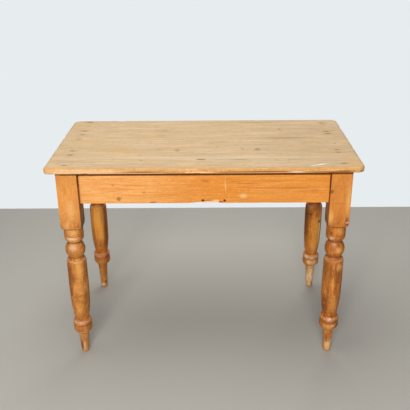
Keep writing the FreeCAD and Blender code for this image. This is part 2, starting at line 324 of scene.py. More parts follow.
def woodMaterial(name, look):
    wood = dict(woodBasics, **look)
    material, shader = newMaterial(name)
    tree = material.node_tree
    place = tree.nodes.new("ShaderNodeTexCoord").outputs["Object"]
    grain, axes = grainSpace(tree, place, wood["along"])
    own = vectorCalc(tree, "ADD", grain, wood["shift"])
    edgeNoise = calc(tree, "SUBTRACT", noiseOf(tree, place, wood["markNoise"], 3.0, 0.6), 0.5)

    # Growth rings, then broad streaks, slow patches, mottling and fine fibres over them
    distance = ringDistance(tree, grain, own, wood, place, edgeNoise)
    rings = ringCurve(tree, calc(tree, "FRACT", calc(tree, "DIVIDE", distance, wood["ringWidth"])))
    streaks = grainNoise(tree, own, wood["streakScale"], 2.0, 0.55)
    patches = grainNoise(tree, own, wood["patchScale"], 2.0)
    mottle = grainNoise(tree, own, wood["mottleScale"], 3.0, 0.6)
    fibres = grainNoise(tree, own, wood["fibreScale"], 2.0, 0.6)
    colour = blended(tree, calc(tree, "MULTIPLY", rings, wood["ringStrength"]), wood["pale"], wood["late"])
    for mark in wood["ground"]:
        colour = blended(tree, spot(tree, place, edgeNoise, mark), colour, mark["colour"])
    for layer, pattern in (("streak", streaks), ("patch", patches), ("mottle", mottle), ("fibre", fibres)):
        mask = fade(tree, pattern, *wood[layer + "Fade"], 0.0, wood[layer + "Strength"])
        colour = blended(tree, mask, colour, wood[layer])
    for along, across, low, high, strength, tone in wood["blotches"]:
        pattern = grainNoise(tree, own, (along, across), 3.0, 0.6)
        colour = blended(tree, fade(tree, pattern, low, high, 0.0, strength), colour, tone)
    specks = grainNoise(tree, own, wood["speckScale"], 1.0)
    speckMask = fade(tree, specks, *wood["speckFade"], 0.0, wood["speckStrength"])
    colour = blended(tree, speckMask, colour, wood["fibre"])
    height = calc(tree, "MULTIPLY", rings, wood["ringRelief"])
    height = calc(tree, "MULTIPLY_ADD", fibres, wood["fibreRelief"], height)
    dullest = wood["roughness"] + wood["fibreRoughness"] / 2
    gloss = calc(tree, "MULTIPLY_ADD", fibres, -wood["fibreRoughness"], dullest)
    gloss = calc(tree, "MULTIPLY_ADD", mottle, wood["mottleRoughness"], gloss)

    for knot in wood["knots"]:
        core = spot(tree, place, edgeNoise, dict(knot, soft=wood["knotSoft"]))
        colour = blended(tree, core, colour, knot["colour"])
        height = calc(tree, "MULTIPLY_ADD", core, wood["knotSink"], height)

    # Colour that follows the piece's own form: rubbed edges together with a painted highlight where faces
    # look up, and dirt together with painted shade in the hollows and the shaded places
    if "wornAndSheen" in wood:
        form = tree.nodes.new("ShaderNodeAttribute")
        form.attribute_name = "form"
        uneven = calc(tree, "SUBTRACT", mottle, 0.5)
        wearAndShading = calc(tree, "MULTIPLY_ADD", uneven, wood["wearMottle"], form.outputs["Fac"])
        # rubbed is rubbed wear and a painted highlight
        rubbed = fade(tree, wearAndShading, *wood["rubAndSheenFade"], 0.0, wood["wornAndSheenStrength"])
        colour = blended(tree, rubbed, colour, wood["wornAndSheen"])
        # hollow is dirt and painted shade
        hollow = fade(tree, wearAndShading, *wood["hollowFade"], 0.0, wood["dirtAndShadeStrength"])
        colour = blended(tree, hollow, colour, wood["dirtAndShade"])
        gloss = calc(tree, "MULTIPLY_ADD", rubbed, wood["rubAndSheenRoughness"], gloss)

    # Where the finish changes, as on bare undersides and pale feet, and then every mark at its own place
    for change in (*wood["zones"], *wood["marks"]):
        if "axis" in change:
            amount = zoneAmount(tree, axes, patches, edgeNoise, change)
        else:
            amount = spot(tree, place, edgeNoise, change)
        if change.get("grained"):
            amount = calc(tree, "MULTIPLY", amount, fade(tree, streaks, 0.35, 0.6))
        colour = blended(tree, amount, colour, change["colour"], change.get("mode", "MIX"))
        if change.get("sink"):
            height = calc(tree, "MULTIPLY_ADD", amount, -change["sink"], height)
        if change.get("dull"):
            gloss = calc(tree, "MULTIPLY_ADD", amount, wood["dullRoughness"], gloss)

    addBump(tree, shader, height, wood["bump"], wood["bumpReach"])
    feed(tree, shader.inputs["Base Color"], colour)
    feed(tree, shader.inputs["Roughness"], gloss)
    shader.inputs["Specular IOR Level"].default_value = wood["shine"]
    return material


# Small helpers for mesh work
closeBy = 1e-5
sameLevel = 1e-6
cutNear = 1e-7


def axisVector(axis):
    return Vector([1.0 if i == axis else 0.0 for i in range(3)])


def longWay(low, high):
    # The axis along a rail, and the one across it
    return (0, 1) if high.x - low.x > high.y - low.y else (1, 0)


def innerOuter(low, high, axis):
    # Where a box ends towards the middle of the table, and away from it
    return (low[axis], high[axis]) if low[axis] > 0.0 else (high[axis], low[axis])


def cutPlane(bm, geometry, axis, level):
    direction = axisVector(axis)
    bmesh.ops.bisect_plane(bm, geom=geometry, dist=cutNear, plane_co=direction * level, plane_no=direction)


def cutFaces(bm, faces, axis, level):
    parts = dict.fromkeys(part for f in faces for part in (f, *f.edges, *f.verts))
    cutPlane(bm, list(parts), axis, level)


def cutAcross(bm, axis, places):
    for place in places:
        cutPlane(bm, bm.verts[:] + bm.edges[:] + bm.faces[:], axis, place)


def spaced(low, high, step):
    count = max(1, round((high - low) / step))
    return [low + (high - low) * i / count for i in range(1, count)]


def blockBetween(bm, low, high):
    made = bmesh.ops.create_cube(bm, size=1.0)["verts"]
    bmesh.ops.scale(bm, vec=Vector(high) - Vector(low), verts=made)
    bmesh.ops.translate(bm, vec=(Vector(low) + Vector(high)) / 2, verts=made)


def edgesAlong(bm, axis):
    return [e for e in bm.edges if abs(e.verts[0].co[axis] - e.verts[1].co[axis]) > 0.01]


def roundEdges(bm, edges, radius, segments):
    bmesh.ops.bevel(
        bm, geom=edges, offset=radius, offset_type="OFFSET", segments=segments,
        profile=0.5, affect="EDGES", material=-1, clamp_overlap=True,
    )


def facesOn(bm, axis, level):
    return [f for f in bm.faces if all(abs(v.co[axis] - level) < sameLevel for v in f.verts)]


def pushFaces(bm, faces, offset):
    made = bmesh.ops.extrude_face_region(bm, geom=faces)["geom"]
    bmesh.ops.delete(bm, geom=faces, context="FACES")
    bmesh.ops.translate(bm, vec=offset, verts=[part for part in made if isinstance(part, bmesh.types.BMVert)])


def ripple(place, scale, seed):
    # Smooth noise between -1 and 1
    return noise.noise(Vector((place.x * scale[0] + seed, place.y * scale[1] - seed, place.z * scale[2])))


def dented(place, dents):
    depth = 0.0
    for centre, size, sink in dents:
        share = (place - centre).length / size
        if share < 1.0:
            depth += sink * (1.0 - share * share) ** 2
    return depth


def carve(piece, cutters):
    # Cuts joint holes and nail holes out of a piece, and drops the slivers that this leaves
    tool = linked("cutter", bpy.data.meshes.new("cutter"))
    cutters.to_mesh(tool.data)
    cutters.free()
    cut = piece.modifiers.new("cut", "BOOLEAN")
    cut.object = tool
    cut.operation = "DIFFERENCE"
    cut.solver = "MANIFOLD"
    piece.data.update()
    bpy.context.view_layer.update()
    carved = bpy.data.meshes.new_from_object(piece.evaluated_get(bpy.context.evaluated_depsgraph_get()))
    clean = bmesh.new()
    clean.from_mesh(carved)
    bmesh.ops.dissolve_degenerate(clean, dist=2 * sameLevel, edges=clean.edges)
    clean.to_mesh(carved)
    clean.free()
    uncut = piece.data
    piece.modifiers.clear()
    piece.data = carved
    bpy.data.meshes.remove(uncut)
    bpy.data.objects.remove(tool)


def placePiece(piece, node, sharpAngle=35.0):
    mesh = piece.data
    mesh.name = piece.name
    mesh.polygons.foreach_set("use_smooth", [True] * len(mesh.polygons))
    mesh.set_sharp_from_angle(angle=math.radians(sharpAngle))
    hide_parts(node)
    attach(piece, "root")


def writeForm(piece, formAt):
    # Stores how far each point stands out (above 0) or lies in a hollow or in shade (below 0), and more where
    # it faces up, for a painted highlight there
    values = [formAt(vertex.co) + 0.7 * max(0.0, vertex.normal.z) for vertex in piece.data.vertices]
    piece.data.attributes.new("form", "FLOAT", "POINT").data.foreach_set("value", values)


# Marks are written in millimetres: two places, length, width, colour, strength, softness and raggedness of
# the edge, turn in degrees, and anything else in a dictionary
def spotMark(at, size, axis, colour, strength=1.0, soft=0.35, ragged=0.6, turn=0.0, **more):
    look = {"at": at, "size": size, "turn": axisVector(axis) * math.radians(turn), "colour": colour}
    return {**look, "strength": strength, "soft": soft, "ragged": ragged, **more}


def marksFrom(rows, makeMark, *first):
    marks = []
    for row in rows:
        more = row[-1] if isinstance(row[-1], dict) else {}
        values = row[:-1] if more else row
        marks.append(makeMark(*first, *values, **more))
    return marks


def knotsFrom(rows):
    # Knots: middle, half sizes, colour, strength, raggedness, and how far and wide they push the rings aside
    knots = []
    for x, y, z, length, width, height, colour, strength, ragged, push, swirl in rows:
        at, size = Vector((x, y, z)) / 1000, Vector((length, width, height)) / 1000
        knots.append(spotMark(at, size, 2, colour, strength, ragged=ragged, push=push, swirl=swirl))
    return knots


def zone(axis, low, high, strength, colour, **more):
    return {"axis": axis, "low": low, "high": high, "strength": strength, "colour": colour, **more}


# Nails stay as the frame holds them, in old iron
nailLook = {
    "iron": (0.045, 0.032, 0.026),
    "rust": (0.13, 0.05, 0.02),
    "roughness": 0.8,
    "metal": 0.6,
    "bump": 0.6,
    "bumpReach": 0.0003,
}
nailShape = {
    "length": 0.005,
    "width": 0.0036,
    "thickness": 0.0016,
    "shank": 0.0026,
    "tip": 0.0012,
    "spread": 0.006,
    "pitRise": 0.004,
    "holeDepth": 0.0504,
    "boardHoleDepth": 0.024,
}
nailNodes = ("nails_left_end", "nails_right_end")


def nailPlaces(node):
    # Middles of the nail heads, from front to back
    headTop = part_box(node)[1].z
    corners = [vertex.co for vertex in nodes[node].data.vertices if vertex.co.z > headTop - 0.0001]
    groups = []
    for corner in sorted(corners, key=lambda co: co.y):
        if groups and corner.y - groups[-1][-1].y < nailShape["spread"]:
            groups[-1].append(corner)
        else:
            groups.append([corner])
    middles = []
    for group in groups:
        x, y = ((min(co[i] for co in group) + max(co[i] for co in group)) / 2 for i in (0, 1))
        middles.append(Vector((x, y, headTop)))
    return middles


def nailCutters(bm, places, depth):
    # A punched pit, the head's seat and the tapered hole below it
    size = nailShape
    for place in places:
        half = Vector((size["length"] / 2, size["width"] / 2, 0.0))
        low = place - half - Vector((0.0, 0.0, size["thickness"]))
        blockBetween(bm, low, place + half + Vector((0.0, 0.0, size["pitRise"])))
        shankTop = place.z - size["thickness"] + 0.0002
        made = bmesh.ops.create_cone(
            bm, segments=4, cap_ends=True, depth=depth,
            radius1=size["tip"] * math.sqrt(0.5), radius2=size["shank"] * math.sqrt(0.5),
        )["verts"]
        bmesh.ops.rotate(bm, verts=made, cent=(0.0, 0.0, 0.0), matrix=Matrix.Rotation(math.pi / 4, 3, "Z"))
        bmesh.ops.translate(bm, verts=made, vec=(place.x, place.y, shankTop - depth / 2))


def makeNails(look):
    material, shader = newMaterial("old_iron")
    tree = material.node_tree
    place = tree.nodes.new("ShaderNodeTexCoord").outputs["Object"]
    crust = noiseOf(tree, place, 900.0, 4.0, 0.7)
    colour = blended(tree, fade(tree, crust, 0.42, 0.66), look["iron"], look["rust"])
    feed(tree, shader.inputs["Base Color"], colour)
    addBump(tree, shader, crust, look["bump"], look["bumpReach"])
    shader.inputs["Metallic"].default_value = look["metal"]
    shader.inputs["Roughness"].default_value = look["roughness"]
    for node in nailNodes:
        nodes[node].material_slots[0].material = material


makeNails(nailLook)
nails = {node: nailPlaces(node) for node in nailNodes}
print("nails:", {node: len(places) for node, places in nails.items()})


# Top: three boards cut from one slab, so that their worn edges and faces run on across the joints
topShape = {
    "cornerRadius": 0.027,
    "frontLeftRadius": 0.018,
    "upperRound": 0.007,
    "lowerRound": 0.004,
    "cutsAlong": 0.010,
    "cutsAcross": 0.013,
    "rimBand": 0.010,
    "rimWear": 0.0011,
    "faceHollow": 0.0004,
    "jointRound": 0.0004,
    "jointBand": 0.0025,
    "tongueThickness": 0.006,
    "tongueLength": 0.007,
    "grooveGap": 0.0005,
    "jointClearance": 0.00015,
}
# Bruises on the rims, in millimetres: place, size and depth
rimBruises = (
    (487, -280, 736, 11, 3),
    (425, -280, 733, 30, 1.8),
    (382, -280, 748, 12, 1.2),
    (140, -280, 749, 14, 1.2),
    (-20, -280, 731, 16, 1.4),
    (-250, -280, 748, 18, 1.2),
    (-392, -280, 732, 13, 1.6),
    (-470, -280, 749, 12, 1.4),
    (530, -80, 748, 16, 1.3),
    (530, 170, 748, 20, 1.5),
    (-530, 60, 748, 18, 1.5),
    (-530, -190, 746, 13, 1.6),
    (-340, 280, 748, 20, 1.4),
    (210, 280, 747, 15, 1.5),
)
boardNodes = ("top_board_front", "top_board_middle", "top_board_back")
slabLow = Vector([min(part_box(node)[0][i] for node in boardNodes) for i in range(3)])
slabHigh = Vector([max(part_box(node)[1][i] for node in boardNodes) for i in range(3)])
slabMiddle = (slabLow + slabHigh) / 2
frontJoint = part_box("top_board_front")[1].y
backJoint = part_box("top_board_back")[0].y
# Where each board meets its neighbours, and which way that joint faces
boardJoints = {
    "top_board_front": ((frontJoint, 1.0),),
    "top_board_middle": ((backJoint, 1.0), (frontJoint, -1.0)),
    "top_board_back": ((backJoint, -1.0),),
}
topWood = {
    "along": "X", "ringWidth": 0.0052, "wander": 0.018, "waver": 0.0014,
    "pale": (0.665, 0.495, 0.298), "late": (0.505, 0.33, 0.165), "ringStrength": 0.55,
    "streak": (0.53, 0.36, 0.19), "streakStrength": 0.5,
    "patch": (0.6, 0.4, 0.195), "patchStrength": 0.6, "patchScale": (5.0, 16.0),
    "mottle": (0.53, 0.36, 0.19), "mottleStrength": 0.5, "mottleScale": (16.0, 60.0),
    "fibre": (0.47, 0.31, 0.16), "fibreStrength": 0.36,
    "ringRelief": 0.35, "fibreRelief": 0.3, "bump": 0.45,
    "roughness": 0.66, "shine": 0.28,
    "blotches": (
        (9.0, 27.0, 0.48, 0.6, 0.5, (0.67, 0.445, 0.225)),
        (6.0, 62.0, 0.5, 0.62, 0.42, (0.5, 0.345, 0.19)),
        (5.0, 78.0, 0.52, 0.64, 0.4, (0.72, 0.56, 0.37)),
        (6.0, 190.0, 0.53, 0.62, 0.36, (0.38, 0.255, 0.14)),
        (45.0, 120.0, 0.56, 0.66, 0.5, (0.38, 0.25, 0.13)),
    ),
}
boardLooks = {
    "top_board_front": {"shift": (3.1, 0.4, 1.7), "heart": (-0.215, 0.640), "lean": (0.008, 0.012)},
    "top_board_middle": {"shift": (7.7, 2.3, 0.2), "heart": (0.020, 0.655), "lean": (-0.012, 0.010)},
    "top_board_back": {"shift": (1.4, 5.2, 4.6), "heart": (0.225, 0.655), "lean": (0.010, -0.014)},
}
tinted = {"mode": "MULTIPLY"}
rimSides = {"both": True, "axis": "Y", "low": 0.2798, "high": 0.2822}
topZones = (
    # warm varnish left round the rim, darker down its side
    zone("Y", -0.2765, -0.2665, 0.9, (1.02, 0.80, 0.50), flip=True, uneven=-0.018, rough=-0.006, **tinted),
    zone("Y", 0.2665, 0.2765, 0.7, (0.92, 0.80, 0.64), uneven=0.018, rough=0.006, **tinted),
    zone("X", 0.5160, 0.5255, 0.7, (0.97, 0.89, 0.76), both=True, uneven=0.016, rough=0.006, **tinted),
    zone("Z", 0.7425, 0.7475, 0.9, (1.10, 0.97, 0.88), flip=True, uneven=0.006, rough=0.004, **tinted),
    # the rim's face is blotched brown and rubbed pale by turns
    dict(rimSides, strength=0.42, colour=(0.52, 0.240, 0.070), rough=0.022),
    dict(rimSides, strength=0.22, colour=(0.92, 0.64, 0.36), rough=-0.022),
    # bare, dusty underside
    zone("Z", 0.7306, 0.7318, 0.9, (0.36, 0.23, 0.12), flip=True),
)
darkStain = (0.13, 0.085, 0.05)
brownStain = (0.40, 0.215, 0.095)
goldStain = (0.58, 0.355, 0.145)
knotBrown = (0.235, 0.140, 0.070)
edgeBrown = (0.28, 0.100, 0.016)
# Broad darker ground under the grain, over all three boards
topGround = (
    (420, 60, 420, 560, (0.52, 0.36, 0.2), 0.6, 0.9, 1.0),
    (300, -110, 200, 110, (0.52, 0.355, 0.195), 0.5, 0.9, 1.4),
    (420, 150, 160, 45, (0.44, 0.29, 0.15), 0.55, 0.9, 1.6),
    (360, -30, 180, 36, (0.45, 0.3, 0.155), 0.5, 0.9, 1.6),
    (450, -120, 120, 40, (0.46, 0.305, 0.16), 0.5, 0.9, 1.6),
)
topMarks = {
    "top_board_front": (
        (-10, -193, 34, 9.5, (0.1, 0.06, 0.03), 1.0, 0.35, 0.8, {"sink": 1.2}),
        (128, -199, 60, 6, brownStain, 0.75, 0.35, 1.0),
        (75, -197, 165, 3.5, darkStain, 0.5, 0.35, 1.4, -2.0, {"sink": 0.5}),
        (309, -201, 70, 3.5, darkStain, 0.5, 0.35, 1.2),
        (377, -254, 52, 4.5, (0.93, 0.91, 0.86), 0.95, 0.25, 0.9, 17.0, {"sink": -0.5}),
        (395, -246, 26, 3.5, (0.93, 0.91, 0.86), 0.8, 0.35, 1.1, 10.0),
        (-213, -200, 9, 8, darkStain, 0.55),
        (-310, -186, 10, 7, darkStain, 0.4),
        (0, -177, 1000, 30, (0.68, 0.52, 0.34), 0.45, 0.8),
    ),
    "top_board_middle": (
        (-325, -92, 150, 60, goldStain, 0.4, 0.8, 1.2),
        (-296, -90, 70, 36, goldStain, 0.55, 0.8, 1.4),
        (-60, 4, 88, 4.5, darkStain, 0.42, 0.6, 1.0),
        (55, -11, 74, 4.5, darkStain, 0.34, 0.6, 1.0),
        (283, 37, 190, 26, brownStain, 0.42, 0.8),
        (305, 37, 140, 15, brownStain, 0.62, 0.7, 0.8),
        (-468, 34, 24, 26, brownStain, 0.45, 0.7),
        (471, -30, 10, 10, darkStain, 0.5),
        (-190, 60, 80, 26, goldStain, 0.55, 0.8, 1.6, 12.0),
        (-140, 46, 50, 30, goldStain, 0.55, 0.8, 1.6, -22.0),
        (225, -90, 70, 14, goldStain, 0.45, 0.8, 1.6),
        (-80, -90, 50, 16, goldStain, 0.4, 0.8, 1.6),
        (-420, 20, 120, 30, goldStain, 0.3, 0.9, 1.4),
    ),
    "top_board_back": (
        (200, 243, 160, 20, brownStain, 0.5, 0.8),
        (20, 262, 1100, 38, (0.52, 0.345, 0.2), 0.6, 0.7, 1.0, {"grained": True}),
        (250, 205, 500, 20, goldStain, 0.4, 0.9, 1.0, 1.0),
        (480, 150, 60, 16, goldStain, 0.45, 0.8, 1.0),
        (288, 146, 12, 14, darkStain, 0.5),
        (-467, 262, 30, 20, darkStain, 0.45, 0.7),
        (466, 214, 26, 24, (0.42, 0.19, 0.1), 0.45, 0.7),
        (-160, 140, 90, 50, brownStain, 0.22, 0.9, 1.2),
        (-463, 205, 20, 12, brownStain, 0.4, 0.7),
    ),
}
# The front edge: x and z
edgeMarks = (
    (-400, 737, 260, 16, (0.93, 0.64, 0.37), 0.5, 0.8, 1.2),
    (-212, 737.2, 130, 4.6, edgeBrown, 0.95, 0.5, 1.0),
    (-130, 734, 100, 3.6, edgeBrown, 0.4, 0.7, 1.6),
    (110, 735.2, 165, 4.2, edgeBrown, 1.0, 0.5, 1.0),
    (225, 737, 170, 4.4, edgeBrown, 0.9, 0.6, 1.5),
    (390, 734.5, 120, 4.4, edgeBrown, 0.8, 0.6, 1.4),
    (458, 735, 58, 11, (0.32, 0.12, 0.02), 1.0, 0.5, 0.8),
    (517, 736.2, 8, 7, (0.16, 0.07, 0.015), 0.9, 0.5),
    (491.5, 737.6, 6, 5, (0.3, 0.11, 0.02), 0.85, 0.5),
    (302, 735.2, 46, 5, (0.95, 0.66, 0.42), 0.7, 0.6, 2.4),
    (110, 732.5, 200, 3, (0.94, 0.56, 0.24), 0.6, 0.6, 1.4, {"dull": True}),
    (422, 741.2, 80, 4, (0.86, 0.44, 0.2), 0.6, 0.7, 1.3),
    (-14, 735.2, 90, 4.6, (0.96, 0.68, 0.36), 0.75, 0.6, 1.4),
    (-170, 732.5, 120, 3.4, (0.94, 0.62, 0.36), 0.6, 0.6, 1.4),
    (-300, 737.2, 120, 3.4, (0.7, 0.38, 0.14), 0.5, 0.8, 1.6),
)
cornerMarks = (
    (506, -244, 70, 90, (0.66, 0.4, 0.165), 0.6, 0.8, 0.8),
)
topKnots = {
    "top_board_middle": (
        (-95, -97, 750, 8.5, 14, 20, knotBrown, 0.58, 1.4, 0.007, 3.0),
        (188, -92, 750, 9.5, 13, 20, knotBrown, 0.62, 1.4, 0.007, 3.0),
        (136, -87, 750, 6, 6, 20, knotBrown, 0.5, 0.6, 0.007, 3.0),
        (-165, 70, 750, 20, 22, 20, (0.47, 0.3, 0.15), 0.4, 0.6, 0.016, 2.6),
    ),
    "top_board_back": (
        (-155, 138, 750, 15, 14, 20, (0.47, 0.3, 0.15), 0.35, 0.6, 0.012, 3.0),
    ),
}
# How dark each nail's rust stain is, from front to back, and the size of a stain
nailStains = {
    "nails_left_end": (0.55, 0.8, 0.6, 0.5, 1.0, 0.5),
    "nails_right_end": (0.75, 0.6, 0.6, 1.0, 1.0, 0.5),
}
stainShape = {"length": 14, "growth": 10, "width": 9.5, "haloLength": 46, "haloWidth": 16}


def topMark(x, y, length, width, *look, **more):
    return spotMark((x / 1000, y / 1000, slabHigh.z), (length / 2000, width / 2000, 0.012), 2, *look, **more)


def edgeMark(x, z, length, height, *look, **more):
    return spotMark((x / 1000, slabLow.y, z / 1000), (length / 2000, 0.009, height / 2000), 1, *look, **more)


def nailMarks(low, high):
    # A dark stain and a wide brown one round each nail between two places
    marks = []
    for node in nailNodes:
        for place, strength in zip(nails[node], nailStains[node]):
            if low < place.y < high:
                at = (place.x * 1000, place.y * 1000)
                length = stainShape["length"] + stainShape["growth"] * strength
                marks.append(topMark(*at, length, stainShape["width"], darkStain, strength, 0.45, 0.8))
                halo = (stainShape["haloLength"], stainShape["haloWidth"])
                marks.append(topMark(*at, *halo, brownStain, strength * 0.5, 0.9))
    return marks


def inwards(place):
    # The way from a rim towards the middle of the top
    if slabHigh.x - abs(place.x) < slabHigh.y - abs(place.y):
        return Vector((-math.copysign(1.0, place.x), 0.0, 0.0))
    return Vector((0.0, -math.copysign(1.0, place.y), 0.0))


def makeSlab(shape):
    bm = bmesh.new()
    blockBetween(bm, slabLow, slabHigh)
    corners = [e for e in edgesAlong(bm, 2) if max(e.verts[0].co.x, e.verts[0].co.y) > 0.0]
    roundEdges(bm, corners, shape["cornerRadius"], 8)
    frontLeft = [e for e in edgesAlong(bm, 2) if (e.verts[0].co - slabLow).xy.length < closeBy]
    roundEdges(bm, frontLeft, shape["frontLeftRadius"], 8)
    upper = [e for e in bm.edges if min(v.co.z for v in e.verts) > slabHigh.z - closeBy]
    roundEdges(bm, upper, shape["upperRound"], 5)
    lower = [e for e in bm.edges if max(v.co.z for v in e.verts) < slabLow.z + closeBy]
    roundEdges(bm, lower, shape["lowerRound"], 3)
    cutAcross(bm, 0, spaced(slabLow.x, slabHigh.x, shape["cutsAlong"]))
    cutAcross(bm, 1, spaced(slabLow.y, slabHigh.y, shape["cutsAcross"]))
    bruises = [(Vector((x, y, z)) / 1000, size / 1000, sink / 1000) for x, y, z, size, sink in rimBruises]
    for vertex in bm.verts:
        place = vertex.co.copy()
        rim = min(slabHigh.x - abs(place.x), slabHigh.y - abs(place.y))
        nearRim = max(0.0, 1.0 - rim / shape["rimBand"])
        bite = shape["rimWear"] * max(0.0, ripple(place, (11.0, 11.0, 40.0), 2.0)) * nearRim
        bite += shape["rimWear"] * 0.5 * max(0.0, ripple(place, (47.0, 47.0, 60.0), 9.0)) * nearRim
        bite += dented(place, bruises)
        vertex.co += inwards(place) * bite
        if place.z > slabMiddle.z:
            hollow = shape["faceHollow"] * (0.5 + 0.5 * ripple(place, (3.0, 13.0, 1.0), 5.0))
            vertex.co.z -= hollow * (1.0 - nearRim) + bite * 0.7
        else:
            vertex.co.z += bite * 0.5
    return bm


def cutJoint(bm, level, side, shape):
    # Cuts the slab at a joint, closes it and breaks its upper edge. side points out of the board.
    bmesh.ops.bisect_plane(
        bm, geom=bm.verts[:] + bm.edges[:] + bm.faces[:], dist=cutNear,
        plane_co=(0.0, level, 0.0), plane_no=(0.0, side, 0.0), clear_outer=True,
    )
    bmesh.ops.edgeloop_fill(bm, edges=[e for e in bm.edges if e.is_boundary])
    end = max(facesOn(bm, 1, level), key=lambda f: len(f.verts))
    upper = [e for e in end.edges if min(v.co.z for v in e.verts) > slabHigh.z - shape["jointBand"]]
    roundEdges(bm, upper, shape["jointRound"], 1)


def pushTongue(bm, level, side, shape):
    half = shape["tongueThickness"] / 2
    for height in (slabMiddle.z - half, slabMiddle.z + half):
        cutFaces(bm, facesOn(bm, 1, level), 2, height)
    band = [f for f in facesOn(bm, 1, level) if abs(f.calc_center_median().z - slabMiddle.z) < half]
    pushFaces(bm, band, (0.0, shape["tongueLength"] * side, 0.0))


def grooveCutter(bm, level, side, shape):
    # The groove that the next board's tongue goes into, right through to both ends
    half = shape["tongueThickness"] / 2 + shape["jointClearance"]
    bottom = level - (shape["tongueLength"] + shape["grooveGap"]) * side
    first, second = sorted((bottom, level + shape["tongueLength"] * side))
    overrun = shape["cornerRadius"]
    low = (slabLow.x - overrun, first, slabMiddle.z - half)
    blockBetween(bm, low, (slabHigh.x + overrun, second, slabMiddle.z + half))


def makeTop(shape):
    slab = makeSlab(shape)
    for node in boardNodes:
        low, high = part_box(node)
        board = slab.copy()
        cutters = bmesh.new()
        for level, side in boardJoints[node]:
            cutJoint(board, level, side, shape)
            if node == "top_board_middle":
                pushTongue(board, level, side, shape)
            else:
                grooveCutter(cutters, level, side, shape)
        bmesh.ops.recalc_face_normals(board, faces=board.faces)
        look = dict(topWood, **boardLooks[node], zones=topZones)
        look["ground"] = marksFrom(topGround, topMark)
        look["marks"] = marksFrom(topMarks[node], topMark)
        if node == "top_board_front":
            look["marks"] += marksFrom(edgeMarks, edgeMark) + marksFrom(cornerMarks, topMark)
        look["marks"] += nailMarks(low.y, high.y)
        look["knots"] = knotsFrom(topKnots.get(node, ()))
        piece = newPiece(board, "worn_" + node, woodMaterial("wood_" + node, look))
        here = [place for places in nails.values() for place in places if low.y < place.y < high.y]
        nailCutters(cutters, here, nailShape["boardHoleDepth"])
        carve(piece, cutters)
        placePiece(piece, node)
    slab.free()


makeTop(topShape)
print("top boards made")


# Aprons: rails between the legs with haunched tenons, the front one broken along its lower edge
apronShape = {
    "arrisRound": 0.0012,
    "cutStep": 0.012,
    "faceHollow": 0.0005,
    "edgeWave": 0.0006,
    "skin": 0.0015,
    "tenonThickness": 0.010,
    "lowerShoulder": 0.014,
    "upperShoulder": 0.022,
    "haunchLength": 0.011,
    "rubbedArris": 0.0035,
    "rubbedAmount": 0.62,
}
chipShape = {
    "start": -0.055,
    "deepEnd": -0.008,
    "deepRise": 0.0042,
    "deepReach": 0.011,
    "deepEdge": 0.003,
    "deepHeight": 0.016,
    "tornEnd": 0.060,
    "tornRise": 0.0088,
    "tornDepth": 0.0022,
    "tornSkin": 0.0025,
    "tornEdge": 0.0012,
    "underRise": 0.0012,
    "underHeight": 0.0022,
    "underReach": 0.009,
    # where the mesh is cut finely round the break, and how finely, along, in and up
    "fineBands": ((-0.061, 0.066, 0.0025), (0.0, 0.015, 0.0015), (0.0, 0.012, 0.0012)),
}
apronWood = {
    "ringWidth": 0.0062, "wander": 0.02, "waver": 0.002,
    "pale": (0.8, 0.3, 0.032), "late": (0.64, 0.2, 0.018), "ringStrength": 0.3,
    "streak": (0.62, 0.195, 0.016), "streakStrength": 0.42,
    "patch": (0.76, 0.3, 0.055), "patchStrength": 0.5,
    "mottle": (0.62, 0.205, 0.022), "mottleStrength": 0.28, "mottleScale": (13.0, 210.0),
    "fibre": (0.5, 0.16, 0.025), "fibreStrength": 0.32,
    "ringRelief": 0.25, "fibreRelief": 0.22, "bump": 0.45,
    "roughness": 0.46, "shine": 0.42, "markNoise": 230.0,
    "wornAndSheen": (0.8, 0.46, 0.21), "wornAndSheenStrength": 0.6,
    "dirtAndShade": (0.16, 0.06, 0.015), "dirtAndShadeStrength": 0.7,
    "blotches": (
        (4.0, 95.0, 0.48, 0.62, 0.3, (0.68, 0.205, 0.014)),
        (8.0, 260.0, 0.54, 0.63, 0.4, (0.48, 0.15, 0.012)),
        (9.0, 170.0, 0.54, 0.66, 0.3, (0.94, 0.44, 0.095)),
        (16.0, 24.0, 0.48, 0.64, 0.24, (0.66, 0.19, 0.012)),
        (110.0, 170.0, 0.54, 0.66, 0.3, (0.56, 0.17, 0.014)),
        (90.0, 150.0, 0.56, 0.66, 0.26, (0.98, 0.52, 0.16)),
    ),
}
# Painted shade close under the top's overhang, on the aprons and the leg blocks
lipShadow = {"axis": "Z", "strength": 0.94, "colour": (0.105, 0.022, 0.0), "rough": 0.003, "dull": True}
apronLooks = {
    "apron_front": {"shift": (2.2, 6.1, 0.9), "heart": (-0.330, 0.655), "lean": (0.002, 0.016)},
    "apron_back": {"shift": (8.3, 1.2, 3.3), "heart": (0.340, 0.690), "lean": (-0.003, -0.014)},
    "apron_left_end": {"shift": (4.4, 3.8, 7.1), "heart": (-0.560, 0.660), "lean": (0.002, 0.020)},
    "apron_right_end": {"shift": (6.5, 9.9, 2.8), "heart": (0.570, 0.680), "lean": (0.003, -0.018)},
}
redKnot = (0.33, 0.105, 0.022)
darkGrain = (0.42, 0.14, 0.018)
warmGround = (0.70, 0.225, 0.014)
paleGround = (0.94, 0.420, 0.100)
rubbedPatch = (0.84, 0.44, 0.16)
